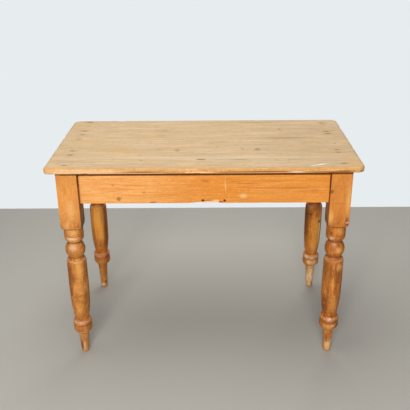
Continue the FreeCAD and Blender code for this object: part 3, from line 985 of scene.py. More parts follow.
# Outer faces: place along the apron and height
apronGrounds = {
    "apron_front": (
        (-400, 665, 560, 220, (1.0, 0.56, 0.2), 0.92, 0.8, 1.2),
        (-250, 700, 160, 60, (0.94, 0.46, 0.14), 0.5, 0.9, 1.4),
        (30, 665, 240, 170, (0.74, 0.245, 0.014), 0.72, 0.9, 1.2),
    ),
    "apron_back": (
        (-300, 680, 300, 160, paleGround, 0.7, 0.9, 1.2),
        (120, 650, 260, 150, warmGround, 0.7, 0.9, 1.2),
    ),
    "apron_left_end": (
        (-110, 680, 180, 160, paleGround, 0.7, 0.9, 1.2),
        (130, 650, 130, 150, warmGround, 0.6, 0.9, 1.2),
    ),
    "apron_right_end": (
        (90, 660, 200, 130, paleGround, 0.6, 0.9, 1.2),
        (-120, 650, 150, 150, warmGround, 0.7, 0.9, 1.2),
    ),
}
apronMarks = {
    "apron_front": (
        (24, 615, 62, 10, (0.92, 0.54, 0.27), 1.0, 0.3),
        (40, 620.5, 22, 6, (0.9, 0.52, 0.25), 0.9, 0.4, 0.8, {"dull": True}),
        # The thin dark line over the break is a painted shadow under its upper edge, and the three very dark
        # spots are painted shade in its holes, also sunk in the bump
        (13, 621.2, 36, 2.6, (0.2, 0.055, 0.006), 0.8, 0.5, 0.9, {"dull": True}),
        (-4, 620.5, 10, 9.5, (0.1, 0.025, 0.003), 1.0, 0.35, 0.9, {"sink": 1.5, "dull": True}),
        (56, 614.5, 13, 6, (0.12, 0.035, 0.006), 0.95, 0.35, 0.8, {"sink": 1.0, "dull": True}),
        (69.5, 620.5, 9, 8.5, (0.1, 0.025, 0.003), 1.0, 0.35, 0.8, {"sink": 1.0, "dull": True}),
        (4, 692, 24, 7, (0.36, 0.13, 0.025), 0.7, 0.6, 0.9, 8.0),
        (72, 675, 4, 42, (0.88, 0.5, 0.2), 0.55, 0.7, 0.8, -3.0),
        (132, 637, 22, 15, (0.86, 0.52, 0.24), 0.7, 0.7, 1.1),
        (105, 688.5, 44, 3.6, (0.4, 0.13, 0.018), 0.65, 0.6, 1.0),
        (215, 665.5, 250, 4.2, (0.46, 0.15, 0.02), 0.6, 0.8, 1.3, 0.6),
        (310, 665.5, 100, 4.2, (0.4, 0.13, 0.018), 0.7, 0.7, 1.0),
        (145, 682, 70, 4, (0.42, 0.14, 0.018), 0.65, 0.7, 1.0, -1.0),
        (200, 648, 240, 3.6, (0.5, 0.17, 0.022), 0.45, 0.9, 1.4),
        (240, 690, 180, 3.4, (0.52, 0.18, 0.022), 0.45, 0.9, 1.4, -0.8),
        (-48, 628, 12, 12, (0.55, 0.24, 0.06), 0.55, 0.7),
        (-174, 614.5, 22, 6, (0.22, 0.08, 0.02), 0.7, 0.5, 1.0),
    ),
    "apron_back": (
        (-235, 662, 300, 4.5, darkGrain, 0.6, 0.8, 1.3, 0.6),
        (60, 700, 240, 4, darkGrain, 0.55, 0.8, 1.3, -0.5),
        (290, 640, 160, 4, darkGrain, 0.6, 0.8, 1.2, 0.4),
        (-20, 633, 200, 3.6, darkGrain, 0.5, 0.9, 1.4),
        (185, 675, 44, 18, rubbedPatch, 0.4, 0.9, 1.8),
        (-360, 630, 40, 6, (0.24, 0.08, 0.018), 0.6, 0.6, 1.2, 3.0),
        (-90, 616, 50, 7, (0.88, 0.52, 0.25), 0.7, 0.6, 1.4),
        (330, 690, 4, 36, (0.84, 0.46, 0.18), 0.5, 0.7, 0.8, 4.0),
    ),
    "apron_left_end": (
        (-70, 653, 180, 4.2, darkGrain, 0.6, 0.8, 1.3, 0.5),
        (80, 688, 150, 4, darkGrain, 0.55, 0.8, 1.3, -0.6),
        (20, 628, 130, 3.4, darkGrain, 0.5, 0.9, 1.4),
        (140, 645, 36, 16, rubbedPatch, 0.4, 0.9, 1.8),
        (-150, 616, 36, 6, (0.24, 0.08, 0.018), 0.6, 0.6, 1.2),
    ),
    "apron_right_end": (
        (40, 676, 220, 4.2, darkGrain, 0.6, 0.8, 1.3, -0.4),
        (-90, 640, 160, 4, darkGrain, 0.6, 0.8, 1.3, 0.6),
        (-20, 706, 140, 3.4, darkGrain, 0.5, 0.9, 1.4),
        (-145, 686, 32, 15, rubbedPatch, 0.4, 0.9, 1.8),
        (115, 616, 50, 6.5, (0.88, 0.52, 0.25), 0.7, 0.6, 1.4),
    ),
}
apronKnots = {
    "apron_front": (
        (-290, -247, 627.5, 7.5, 20, 7.5, redKnot, 0.8, 0.5, 0.006, 3.0),
        (-307, -247, 678, 4, 20, 4, redKnot, 0.45, 0.6, 0.003, 3.0),
        (-203, -247, 651, 5, 20, 4, redKnot, 0.5, 0.6, 0.003, 3.0),
        (372, -247, 655, 12, 20, 6, (0.5, 0.19, 0.04), 0.5, 0.6, 0.007, 3.0),
    ),
    "apron_back": (
        (-150, 247, 684, 9, 20, 7, redKnot, 0.75, 0.6, 0.007, 3.0),
        (262, 247, 668, 6, 20, 5, redKnot, 0.6, 0.6, 0.005, 3.0),
    ),
    "apron_left_end": (
        (-471, 40, 664, 20, 8, 7, redKnot, 0.7, 0.6, 0.006, 3.0),
    ),
    "apron_right_end": (
        (471, 130, 652, 20, 7, 6, redKnot, 0.7, 0.6, 0.006, 3.0),
    ),
}


def railMark(node, along, z, length, height, *look, **more):
    low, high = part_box(node)
    axis, across = longWay(low, high)
    at = Vector((along, along, z)) / 1000
    at[across] = innerOuter(low, high, across)[1]
    size = Vector((0.012, 0.012, height / 2000))
    size[axis] = length / 2000
    return spotMark(at, size, across, *look, **more)


def chipped(place, face, bottom):
    # Where a point of the front apron goes once the lower edge has broken away
    chip = chipShape
    moved = place.copy()
    depth = place.y - face
    above = place.z - bottom
    tear = 0.35 * ripple(place, (160.0, 60.0, 90.0), 4.0)
    if chip["start"] < place.x < chip["deepEnd"]:
        share = (place.x - chip["start"]) / (chip["deepEnd"] - chip["start"])
        rise = chip["deepRise"] * share ** 0.8 * (1.0 + tear * 0.6)
        inside = max(0.0, min(1.0, (chip["deepReach"] * (1.0 + tear) - depth) / chip["deepEdge"]))
        moved.z += rise * inside * max(0.0, 1.0 - above / chip["deepHeight"])
    elif chip["deepEnd"] <= place.x < chip["tornEnd"]:
        share = (place.x - chip["deepEnd"]) / (chip["tornEnd"] - chip["deepEnd"])
        band = chip["tornRise"] * (1.0 - 0.45 * share) * (1.0 + tear)
        if depth < chip["tornSkin"] and above < band:
            sink = chip["tornDepth"] * (1.0 - 0.3 * share) * (1.0 + tear)
            moved.y += sink * min(1.0, (band - above) / chip["tornEdge"])
        if above < chip["underHeight"] and depth < chip["underReach"]:
            moved.z += chip["underRise"] * (1.0 + tear) * (1.0 - above / chip["underHeight"])
    return moved


def wearApron(bm, node, shape, shoulder):
    low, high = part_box(node)
    axis, across = longWay(low, high)
    middle = (low[across] + high[across]) / 2
    for vertex in bm.verts:
        place = vertex.co.copy()
        if node == "apron_front":
            vertex.co = chipped(place, low.y, low.z)
        if abs(place[axis]) < shoulder - closeBy:
            if abs(place[across] - middle) > (high[across] - low[across]) / 2 - shape["skin"]:
                sway = shape["faceHollow"] * (0.5 + 0.5 * ripple(place, (7.0, 7.0, 16.0), 3.0 + axis))
                vertex.co[across] -= math.copysign(sway, place[across] - middle)
            if place.z < low.z + shape["skin"]:
                vertex.co.z += shape["edgeWave"] * max(0.0, ripple(place, (23.0, 23.0, 5.0), 7.0))


def pushTenons(bm, node, shape, shoulder):
    # The end faces are divided and pushed into the legs, the haunch a little way and the tenon further
    low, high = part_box(node)
    axis, across = longWay(low, high)
    middle = (low[across] + high[across]) / 2
    half = shape["tenonThickness"] / 2
    bottom, top = low.z + shape["lowerShoulder"], high.z - shape["upperShoulder"]
    for cutAxis, level in ((across, middle - half), (across, middle + half), (2, bottom), (2, top)):
        ends = [f for side in (-1, 1) for f in facesOn(bm, axis, side * shoulder)]
        cutFaces(bm, ends, cutAxis, level)
    haunchTip = shoulder + shape["haunchLength"]
    for side in (-1, 1):
        for upper, start, end in ((high.z, shoulder, haunchTip), (top, haunchTip, high[axis])):
            faces = []
            for face in facesOn(bm, axis, side * start):
                centre = face.calc_center_median()
                if abs(centre[across] - middle) < half and bottom < centre.z < upper:
                    faces.append(face)
            pushFaces(bm, faces, axisVector(axis) * side * (end - start))


def makeApron(node, shape):
    low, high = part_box(node)
    axis, across = longWay(low, high)
    middle = (low[across] + high[across]) / 2
    shoulder = abs(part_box("leg_front_left")[1][axis])
    bodyLow, bodyHigh = low.copy(), high.copy()
    bodyLow[axis], bodyHigh[axis] = -shoulder, shoulder
    bm = bmesh.new()
    blockBetween(bm, bodyLow, bodyHigh)
    lower = [e for e in edgesAlong(bm, axis) if max(v.co.z for v in e.verts) < low.z + closeBy]
    roundEdges(bm, lower, shape["arrisRound"], 2)
    cutAcross(bm, axis, spaced(-shoulder, shoulder, shape["cutStep"]))
    cutAcross(bm, 2, spaced(low.z, high.z, shape["cutStep"]))
    if node == "apron_front":
        for cutAxis, (start, end, step) in enumerate(chipShape["fineBands"]):
            base = low[cutAxis] if cutAxis else 0.0
            cutAcross(bm, cutAxis, spaced(base + start, base + end, step))
    wearApron(bm, node, shape, shoulder)
    pushTenons(bm, node, shape, shoulder)
    bmesh.ops.remove_doubles(bm, verts=bm.verts, dist=sameLevel)
    bmesh.ops.recalc_face_normals(bm, faces=bm.faces)

    look = dict(apronWood, along="XY"[axis], **apronLooks[node])
    look["ground"] = marksFrom(apronGrounds[node], railMark, node)
    look["marks"] = marksFrom(apronMarks[node], railMark, node)
    look["knots"] = knotsFrom(apronKnots[node])
    inner = middle - math.copysign(0.006, middle)
    bare = zone("XY"[across], inner - 0.003, inner + 0.003, 0.85, (0.40, 0.235, 0.11), flip=middle > 0.0)
    look["zones"] = (dict(lipShadow, low=high.z - 0.0196, high=high.z - 0.0166), bare)
    piece = newPiece(bm, "worn_" + node, woodMaterial("wood_" + node, look))

    def formAt(co):
        # Rubbed along the lower arris, but not inside the tenons
        if abs(co[across] - middle) <= 0.009:
            return 0.0
        return max(0.0, 1.0 - (co.z - low.z) / shape["rubbedArris"]) * shape["rubbedAmount"]

    writeForm(piece, formAt)
    if axis == 1:
        end = nails["nails_left_end" if middle < 0.0 else "nails_right_end"]
        cutters = bmesh.new()
        nailCutters(cutters, [place for place in end if abs(place.y) < shoulder], nailShape["holeDepth"])
        carve(piece, cutters)
    placePiece(piece, node)


for node in apronLooks:
    makeApron(node, apronShape)
print("aprons made")


# Legs: a square block over a turned column, each spun from one outline
legShape = {
    "collarRadius": 0.034,
    "collarLength": 0.033,
    "grooveDepth": 0.0016,
    "beadRadius": 0.0336,
    "beadLength": 0.024,
    "beadBulge": (1.012, 0.36),
    "neckRadius": 0.0245,
    "neckLength": 0.007,
    "ballRadius": 0.0348,
    "ballLength": 0.055,
    "ledgeRadius": 0.033,
    "ledgeLength": 0.011,
    "ledgeBend": (0.3, 0.62),
    "shoulderLength": 0.014,
    "shoulderBend": (0.8, 0.42),
    "bodyRadius": 0.0354,
    # share of the way down the body, and of its greatest radius
    "bodyCurve": (
        (0.0, 0.985), (0.27, 1.0), (0.55, 0.985), (0.72, 0.945), (0.875, 0.845), (0.965, 0.73), (1.0, 0.665),
    ),
    "ringLength": 0.055,
    "ringUpperRadius": 0.0338,
    "ringLowerRadius": 0.0344,
    "ringLowerMiddle": 0.72,
    "ringGrooveRadius": 0.0322,
    "ringGrooveWidth": 0.003,
    "ringLowerLength": 0.0315,
    "ringUndersideRadius": 0.029,
    "pegTopRadius": 0.020,
    "pegLowRadius": 0.0144,
    "pegLowHeight": 0.012,
    "pegEndRadius": 0.011,
    "pegBend": (0.62, 0.22),
    "blockLength": 0.204,
    "blockStep": 0.0095,
    "arrisRound": 0.0016,
    "pommelRadius": 0.0435,
    "pommelLength": 0.015,
    "pommelBend": (0.62, 0.35),
    "pommelStep": 0.0035,
    "outlineStep": 0.0026,
    "spinSteps": 84,
    "unevenness": 0.00035,
    "jointClearance": 0.00015,
    "mortiseEndGap": 0.001,
    "dropReach": 0.026,
}
# Knocks on the turned column: how many, how many of them on the rings, and from where to where each may vary
knockShape = {
    "count": 46,
    "onRings": 22,
    "radius": 0.0345,
    "ringHeights": (0.008, 0.054),
    "columnHeights": (0.03, -0.01),
    "ringSizes": (0.004, 0.009),
    "columnSizes": (0.004, 0.008),
    "ringSinks": (0.0006, 0.0018),
    "columnSinks": (0.0003, 0.0009),
}
legWood = {
    "along": "Z", "ringWidth": 0.005, "wander": 0.014, "waver": 0.0018,
    "pale": (0.66, 0.29, 0.058), "late": (0.38, 0.125, 0.018), "ringStrength": 0.5,
    "streak": (0.32, 0.105, 0.016), "streakStrength": 0.55, "streakScale": (7.0, 130.0),
    "patch": (0.43, 0.15, 0.024), "patchStrength": 0.8, "patchScale": (14.0, 30.0),
    "mottle": (0.24, 0.078, 0.012), "mottleStrength": 0.68, "mottleScale": (85.0, 150.0),
    "fibre": (0.26, 0.085, 0.013), "fibreStrength": 0.45, "speckStrength": 0.6,
    "ringRelief": 0.25, "fibreRelief": 0.25, "bump": 0.6,
    "roughness": 0.44, "shine": 0.3, "markNoise": 330.0,
    "wornAndSheen": (0.68, 0.345, 0.175), "wornAndSheenStrength": 0.75,
    "dirtAndShade": (0.1, 0.028, 0.005), "dirtAndShadeStrength": 0.8,
    "blotches": (
        (13.0, 30.0, 0.46, 0.6, 0.45, (0.36, 0.108, 0.012)),
        (17.0, 38.0, 0.5, 0.62, 0.4, (0.78, 0.34, 0.07)),
        (55.0, 95.0, 0.5, 0.6, 0.42, (0.26, 0.078, 0.01)),
        (80.0, 135.0, 0.53, 0.63, 0.32, (0.8, 0.4, 0.13)),
        (150.0, 210.0, 0.61, 0.69, 0.45, (0.84, 0.52, 0.33)),
        (130.0, 240.0, 0.59, 0.67, 0.58, (0.13, 0.036, 0.005)),
    ),
}
legLooks = {
    "leg_front_left": {
        "peg": 0.094, "seed": 11, "pegPale": 0.36, "blockDrop": -0.0022, "cornerWear": 0.0022,
        "tint": (1.04, 0.95, 0.82), "blockTint": (1.04, 0.95, 0.82),
        "shift": (0.7, 2.9, 4.1), "heart": (-0.520, -0.250), "lean": (0.004, 0.010),
    },
    "leg_front_right": {
        "peg": 0.106, "seed": 23, "pegPale": 0.5, "blockDrop": 0.0028, "cornerWear": 0.0030,
        "tint": (0.93, 0.75, 0.5), "blockTint": (0.93, 0.75, 0.5),
        "shift": (5.3, 0.6, 8.2), "heart": (0.400, -0.190), "lean": (-0.010, 0.006),
    },
    "leg_back_left": {
        "peg": 0.125, "seed": 37, "pegPale": 0.4, "blockDrop": 0.0, "cornerWear": 0.0020,
        "tint": (1.22, 0.95, 0.48), "blockTint": (1.00, 0.92, 0.75),
        "shift": (9.1, 7.4, 1.5), "heart": (-0.400, 0.290), "lean": (0.006, -0.008),
    },
    "leg_back_right": {
        "peg": 0.112, "seed": 51, "pegPale": 0.85, "blockDrop": 0.001, "cornerWear": 0.0025,
        "tint": (1.14, 0.91, 0.50), "blockTint": (0.95, 0.84, 0.60),
        "shift": (3.9, 4.8, 6.6), "heart": (0.510, 0.190), "lean": (0.008, 0.010),
    },
}
legAprons = {
    "leg_front_left": ("apron_front", "apron_left_end"),
    "leg_front_right": ("apron_front", "apron_right_end"),
    "leg_back_left": ("apron_back", "apron_left_end"),
    "leg_back_right": ("apron_back", "apron_right_end"),
}
blockVarnish = (0.79, 0.355, 0.086)
tintedColours = ("pale", "late", "streak", "patch", "mottle", "fibre")
deepBrown = (0.155, 0.045, 0.007)
redBrown = (0.30, 0.085, 0.008)
blackened = (0.085, 0.028, 0.010)
# Rubbed colours, used for rubbed wear and for painted highlights on the turnings
pinkRubAndHighlight = (0.82, 0.47, 0.30)
paleRubAndHighlight = (0.88, 0.64, 0.47)
goldRubAndHighlight = (0.86, 0.42, 0.10)
barePale = (0.86, 0.54, 0.26)
# How far from the leg's middle a mark lies, on the thin peg under the rings and on the column over it
markReach = {"peg": 0.016, "column": 0.0345}
# The turned column: angle in degrees from the front towards the right end of the table, and height
columnMarks = {
    "leg_front_left": (
        # Front left: the lighter marks at the front of the collar, bead, ball, body and ring are painted
        # highlights and partly rubbed wear; the broad soft dark marks on the right side at 130, 220 and 350
        # mm are painted shade; the rest are stains, cracks and knocks
        (4, 512, 34, 22, (0.84, 0.46, 0.17), 0.5, 0.9),
        (-7, 486.5, 36, 8, paleRubAndHighlight, 0.6, 0.8),
        (-8, 456, 30, 22, pinkRubAndHighlight, 0.55, 0.8),
        (-45, 330, 22, 120, deepBrown, 0.65, 0.8, 1.8),
        (-19, 325.5, 12, 34, deepBrown, 0.55, 0.7, 1.8),
        (-40, 267, 12, 26, deepBrown, 0.65, 0.6, 1.6),
        (15, 257.5, 24, 12, deepBrown, 0.35, 0.8, 1.8),
        (52, 260, 16, 34, deepBrown, 0.5, 0.8, 1.8),
        (22, 362, 30, 56, goldRubAndHighlight, 0.45, 0.9, 1.2),
        (8, 205, 30, 60, goldRubAndHighlight, 0.3, 0.9, 1.2),
        (0, 140, 50, 30, pinkRubAndHighlight, 0.2, 0.9, 3.0),
        (2, 469, 56, 50, (0.86, 0.46, 0.19), 0.4, 0.9, 1.4),
        (-20, 85, 30, 40, (0.8, 0.5, 0.24), 0.3, 0.9, 1.2),
        (24, 70, 18, 50, (0.34, 0.14, 0.035), 0.45, 0.9, 1.6),
        (10, 116, 60, 22, (0.36, 0.13, 0.028), 0.4, 0.9, 1.6),
        (-34, 37, 14, 50, (0.2, 0.075, 0.02), 0.5, 0.8, 1.0),
        (58, 130, 30, 56, deepBrown, 0.45, 0.9),
        (50, 220, 26, 90, deepBrown, 0.35, 0.9, 1.2),
        (14, 290, 32, 66, (0.9, 0.43, 0.12), 0.3, 0.9, 1.4),
        (60, 350, 22, 80, deepBrown, 0.35, 0.9),
        (-32, 28, 6.5, 30, blackened, 0.85, 0.5),
        (10, 32, 8.5, 34, (0.84, 0.55, 0.35), 0.45, 0.6),
        (-14, 140, 8, 18, (0.46, 0.19, 0.07), 0.5, 0.8, 2.2),
        (12, 138, 6, 20, (0.42, 0.16, 0.05), 0.5, 0.8, 2.2),
        (34, 142, 8, 16, (0.42, 0.16, 0.05), 0.5, 0.8, 2.2),
        (-36, 134, 10, 16, (0.48, 0.19, 0.08), 0.5, 0.8, 2.2),
        (-24, 129, 10, 7, (0.92, 0.64, 0.4), 0.4, 0.8, 2.6),
        (0, 88, 60, 5, deepBrown, 0.75, 0.7),
        (-12, 68, 8, 30, (0.4, 0.18, 0.07), 0.5, 0.8, 1.8),
        (6, 56, 5, 20, (0.34, 0.14, 0.05), 0.5, 0.8, 1.8),
        (-22, 36, 6, 30, (0.24, 0.085, 0.03), 0.6, 0.7, 1.4),
        (34, 32, 8, 36, (0.36, 0.15, 0.05), 0.5, 0.8, 1.4),
    ),
    "leg_front_right": (
        # Front right: the golden, pink and pale marks at the front of the collar, bead, ball, body and ring
        # are painted highlights and partly rubbed wear; the dark marks on the right side of the ring at 112.5
        # and 135 mm are painted shade; the rest are stains, knots and wear
        (-38, 502.3, 9, 13, deepBrown, 0.7, 0.35, 1.4),
        (15, 511.6, 18, 22, goldRubAndHighlight, 0.4, 0.8, 1.8),
        (-35, 483, 14, 10, paleRubAndHighlight, 0.5, 0.7, 2.4),
        (17, 436.7, 24, 20, goldRubAndHighlight, 0.6, 0.7, 2.2),
        (-16, 462.6, 26, 15, pinkRubAndHighlight, 0.55, 0.8),
        (27, 368.8, 24, 24, goldRubAndHighlight, 0.5, 0.8, 2.2),
        (32, 335.1, 26, 52, deepBrown, 0.55, 0.7, 1.4),
        (-50, 210.4, 36, 80, (0.17, 0.04, 0.006), 0.75, 0.6, 1.8),
        (-12, 226.2, 13, 13, deepBrown, 0.6, 0.35, 1.2),
        (-54, 218.7, 6, 7, pinkRubAndHighlight, 0.35, 0.7, 1.6),
        (12, 252.1, 6, 6, pinkRubAndHighlight, 0.3, 0.7, 1.6),
        (-37, 257.8, 6, 6, pinkRubAndHighlight, 0.3, 0.7, 1.6),
        (5, 220, 26, 56, goldRubAndHighlight, 0.35, 0.9, 1.0),
        (-14, 149.6, 20, 15, paleRubAndHighlight, 0.3, 0.7, 3.0),
        (-10, 122, 40, 14, goldRubAndHighlight, 0.5, 0.8),
        (61, 112.5, 22, 32, blackened, 0.7, 0.7, 1.0),
        (-26, 70.4, 15, 24, (0.42, 0.16, 0.05), 0.8, 0.35, 0.8),
        (-24, 64, 4.5, 36, (0.13, 0.042, 0.01), 0.85, 0.6, 0.9),
        (-20, 49, 9, 7, (0.15, 0.05, 0.012), 0.8, 0.6, 1.0),
        (10, 60, 6, 24, (0.4, 0.16, 0.05), 0.5, 0.8, 1.6),
        (36, 72, 7, 30, (0.36, 0.13, 0.03), 0.5, 0.8, 1.6),
        (0, 33, 22, 20, (0.9, 0.6, 0.32), 0.4, 0.8, 1.0),
        (0, 100, 60, 4.6, deepBrown, 0.65, 0.7),
        (-26, 150, 10, 14, (0.44, 0.17, 0.05), 0.55, 0.8, 2.2),
        (8, 144, 8, 12, (0.5, 0.21, 0.07), 0.5, 0.8, 2.2),
        (30, 148, 8, 14, (0.42, 0.16, 0.05), 0.5, 0.8, 2.2),
        (-6, 156, 6, 8, (0.9, 0.64, 0.42), 0.5, 0.7, 2.0),
        (16, 127, 12, 8, (0.92, 0.6, 0.32), 0.5, 0.7, 2.0),
        (43, 47.8, 7, 9, paleRubAndHighlight, 0.6),
        (3, 25.9, 30, 45, barePale, 0.4, 0.8),
        (-12, 404, 90, 26, (0.32, 0.09, 0.018), 0.75, 0.8, 1.0),
        (-50, 350, 30, 80, deepBrown, 0.35, 0.9),
        (-22, 345, 8, 60, deepBrown, 0.5, 0.8, 1.8),
        (4, 365, 6, 44, deepBrown, 0.5, 0.8, 1.8),
        (18, 295, 6, 60, deepBrown, 0.4, 0.8, 2.2),
        (-5, 300, 7, 60, (0.84, 0.4, 0.11), 0.55, 0.8, 1.6),
        (-30, 275, 8, 60, deepBrown, 0.6, 0.8, 1.6),
        (26, 240, 7, 50, deepBrown, 0.5, 0.8, 1.6),
        (-12, 215, 32, 50, (0.4, 0.13, 0.02), 0.28, 0.9, 1.4),
        (42, 135, 30, 56, deepBrown, 0.38, 0.9),
    ),
    "leg_back_left": (
        # Back left: the golden marks down the front of the body and the pink and golden ones on the shoulder
        # and ring are painted highlights and partly rubbed wear; the long dark marks down both sides and the
        # dark one at the right of the peg are painted shade; the rest are stains and wear
        (-1, 402.7, 30, 6, pinkRubAndHighlight, 0.7, 0.7),
        (6, 336, 40, 120, (0.98, 0.42, 0.05), 0.65, 0.9),
        (25, 263.2, 18, 50, goldRubAndHighlight, 0.5, 0.8, 1.4),
        (-8, 229.6, 10, 18, goldRubAndHighlight, 0.6, 0.35, 1.2),
        (56, 290, 26, 260, (0.11, 0.028, 0.003), 0.78, 0.8),
        (-64, 330, 16, 170, (0.15, 0.04, 0.004), 0.6, 0.9),
        (10, 355, 36, 100, (1.0, 0.43, 0.09), 0.6, 0.9, 1.4),
        (-30, 350, 30, 100, (1.0, 0.4, 0.06), 0.5, 0.9, 1.2),
        (0, 260, 40, 60, (0.96, 0.42, 0.1), 0.35, 0.9, 1.6),
        (12, 285, 32, 80, (1.0, 0.41, 0.04), 0.38, 0.9, 2.0),
        (-34, 260, 10, 70, redBrown, 0.5, 0.9, 1.4),
        (2, 230, 30, 34, redBrown, 0.45, 0.9, 1.6),
        (-6, 275, 8, 40, redBrown, 0.3, 0.9, 2.0),
        (26, 350, 10, 60, redBrown, 0.35, 0.9, 1.8),
        (-34, 350, 8, 80, redBrown, 0.3, 0.9, 1.8),
        (0, 152, 90, 64, (0.36, 0.12, 0.02), 0.45, 0.8, 1.2),
        (50, 85, 22, 60, deepBrown, 0.5, 0.9),
        (-10, 163, 52, 12, pinkRubAndHighlight, 0.35, 0.8, 1.4),
        (-2, 136.1, 30, 10, goldRubAndHighlight, 0.4, 0.8),
        (-44, 105, 14, 24, (0.24, 0.075, 0.035), 0.7, 0.35, 1.0),
        (37, 28.4, 9, 15, blackened, 0.9, 0.5),
        (-20, 14, 26, 18, barePale, 0.75, 0.35, 1.6),
    ),
    "leg_back_right": (
        # Back right: the golden marks down the front of the body and the pale and pink ones on the ring are
        # painted highlights and partly rubbed wear and pale wood; the long dark marks down the left side and
        # the dark edge beside the pale crack at 64 degrees are painted shade; the rest are stains, knots and
        # the pale worn peg
        (-66, 350, 30, 160, (0.07, 0.022, 0.003), 0.8, 0.8),
        (-24, 330, 8, 90, redBrown, 0.5, 0.9, 1.2),
        (-58, 290, 24, 120, deepBrown, 0.6, 0.9),
        (8, 285, 42, 100, (0.98, 0.42, 0.06), 0.48, 0.9, 1.8),
        (-18, 245, 14, 40, deepBrown, 0.45, 0.9, 1.8),
        (10, 235, 7, 50, (0.56, 0.15, 0.014), 0.6, 0.9, 1.2),
        (28, 245, 6, 50, (0.5, 0.13, 0.012), 0.55, 0.9, 1.2),
        (40, 270, 26, 110, (0.95, 0.42, 0.09), 0.4, 0.9, 1.2),
        (0, 220, 36, 60, (0.98, 0.42, 0.06), 0.52, 0.9, 1.2),
        (25, 150, 60, 50, (0.92, 0.52, 0.24), 0.35, 0.9, 1.4),
        (30, 60, 24, 110, (1.0, 0.64, 0.34), 0.55, 0.9, 1.2),
        (17, 396, 40, 30, (0.26, 0.075, 0.014), 0.6, 0.9),
        (64, 305, 7, 90, blackened, 0.8, 0.6, 0.8),
        (46, 302, 7, 100, (1.0, 0.62, 0.28), 0.85, 0.6, 0.9),
        (48, 245, 6, 60, (1.0, 0.58, 0.24), 0.6, 0.6, 0.8),
        (12, 198, 26, 30, (0.8, 0.34, 0.11), 0.6, 0.9, 1.2),
        (-44, 154, 24, 16, paleRubAndHighlight, 0.6, 0.8, 1.4),
        (0, 150.3, 20, 13, pinkRubAndHighlight, 0.6, 0.35, 1.6),
        (-20, 131, 20, 20, (0.94, 0.62, 0.26), 0.7, 0.7, 1.8),
        (15, 129, 26, 20, (0.8, 0.47, 0.24), 0.6, 0.8, 1.8),
        (-12, 60, 34, 90, (1.0, 0.66, 0.33), 0.9, 0.8, 1.0),
        (32, 16.4, 10, 20, (0.36, 0.16, 0.05), 0.7, 0.35, 1.4),
        (-46, 88, 14, 44, (0.44, 0.19, 0.05), 0.65, 0.8, 1.4),
        (44, 78, 12, 40, (0.56, 0.25, 0.06), 0.4, 0.8, 1.4),
        (6, 96, 16, 12, (0.52, 0.23, 0.06), 0.5, 0.8, 1.6),
        (-14, 44, 9, 16, (0.46, 0.2, 0.06), 0.55, 0.8, 1.6),
        (-4, 78, 6, 12, (0.44, 0.18, 0.05), 0.6, 0.7, 1.6),
        (20, 62, 5, 14, (0.48, 0.2, 0.06), 0.55, 0.7, 1.6),
        (-26, 64, 5, 18, (0.46, 0.19, 0.05), 0.5, 0.7, 1.6),
        (8, 30, 6, 12, (0.48, 0.2, 0.06), 0.5, 0.7, 1.6),
        (-28, 26, 6, 18, (0.42, 0.17, 0.05), 0.55, 0.7, 1.6),
    ),
}
# The block and single places: middle and half sizes
legMarks = {
    "leg_front_left": (
        (-485, -271, 716, 10, 8, 16, (0.55, 0.2, 0.05), 0.6, 0.8),
        (-466, -271, 672, 3, 8, 12, (0.42, 0.17, 0.04), 0.5, 0.6, 1.2),
        (-453, -271, 595, 12, 8, 35, (0.84, 0.47, 0.18), 0.45, 0.9),
        (-470, -271, 540, 12, 8, 14, (0.84, 0.44, 0.15), 0.4, 0.9),
    ),
    "leg_front_right": (
        (423.5, -271, 661, 8.5, 12, 6.5, (0.26, 0.075, 0.012), 0.95, 0.35, 1.0),
        (483, -271, 556, 4, 8, 10, (0.2, 0.055, 0.012), 0.85, 0.35, 0.9),
        (486, -271, 545, 5, 8, 4, (0.75, 0.42, 0.24), 0.7),
        (486, -271, 539, 5, 8, 5, (0.2, 0.055, 0.012), 0.85, 0.35, 0.9),
        (484, -271, 630, 7, 8, 45, (0.86, 0.47, 0.15), 0.45, 0.9, 1.0),
        (446, -271, 612, 10, 8, 22, (0.62, 0.2, 0.03), 0.5, 0.9, 1.0),
        (452, -271, 618, 24, 8, 2.2, (0.4, 0.15, 0.03), 0.5, 0.6, 1.2),
        (455, -271, 681, 22, 8, 2, (0.42, 0.16, 0.03), 0.4, 0.6, 1.4),
        (429, -271, 566, 7, 8, 22, (0.88, 0.47, 0.14), 0.55, 0.8),
    ),
    "leg_back_right": (
        (479, 206, 326, 4.4, 16, 7, (0.08, 0.024, 0.006), 0.95, 0.4, 0.7),
        (441, 206, 361, 3.6, 16, 5, (0.09, 0.026, 0.006), 0.9, 0.4, 0.7),
    ),
}
legKnots = {
    "leg_front_right": (
        (429, -271, 661, 10, 12, 10, (0.32, 0.1, 0.018), 0.85, 0.8, 0.009, 3.0),
    ),
    "leg_back_right": (
        (441, 200, 361, 7, 16, 8, (0.24, 0.075, 0.014), 0.5, 0.8, 0.007, 3.0),
    ),
}


def tintedBy(colour, tint):
    return tuple(value * share for value, share in zip(colour, tint))


def columnMark(leg, angle, z, width, height, *look, **more):
    low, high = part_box(leg)
    middle = (low + high) / 2
    turn = math.radians(angle)
    reach = markReach["peg" if z / 1000 < legLooks[leg]["peg"] else "column"]
    at = (middle.x + reach * math.sin(turn), middle.y - reach * math.cos(turn), z / 1000)
    return spotMark(at, (width / 2000, 0.010, height / 2000), 2, *look, turn=angle, **more)


def blockMark(x, y, z, width, depth, height, *look, **more):
    return spotMark(Vector((x, y, z)) / 1000, Vector((width, depth, height)) / 1000, 2, *look, **more)


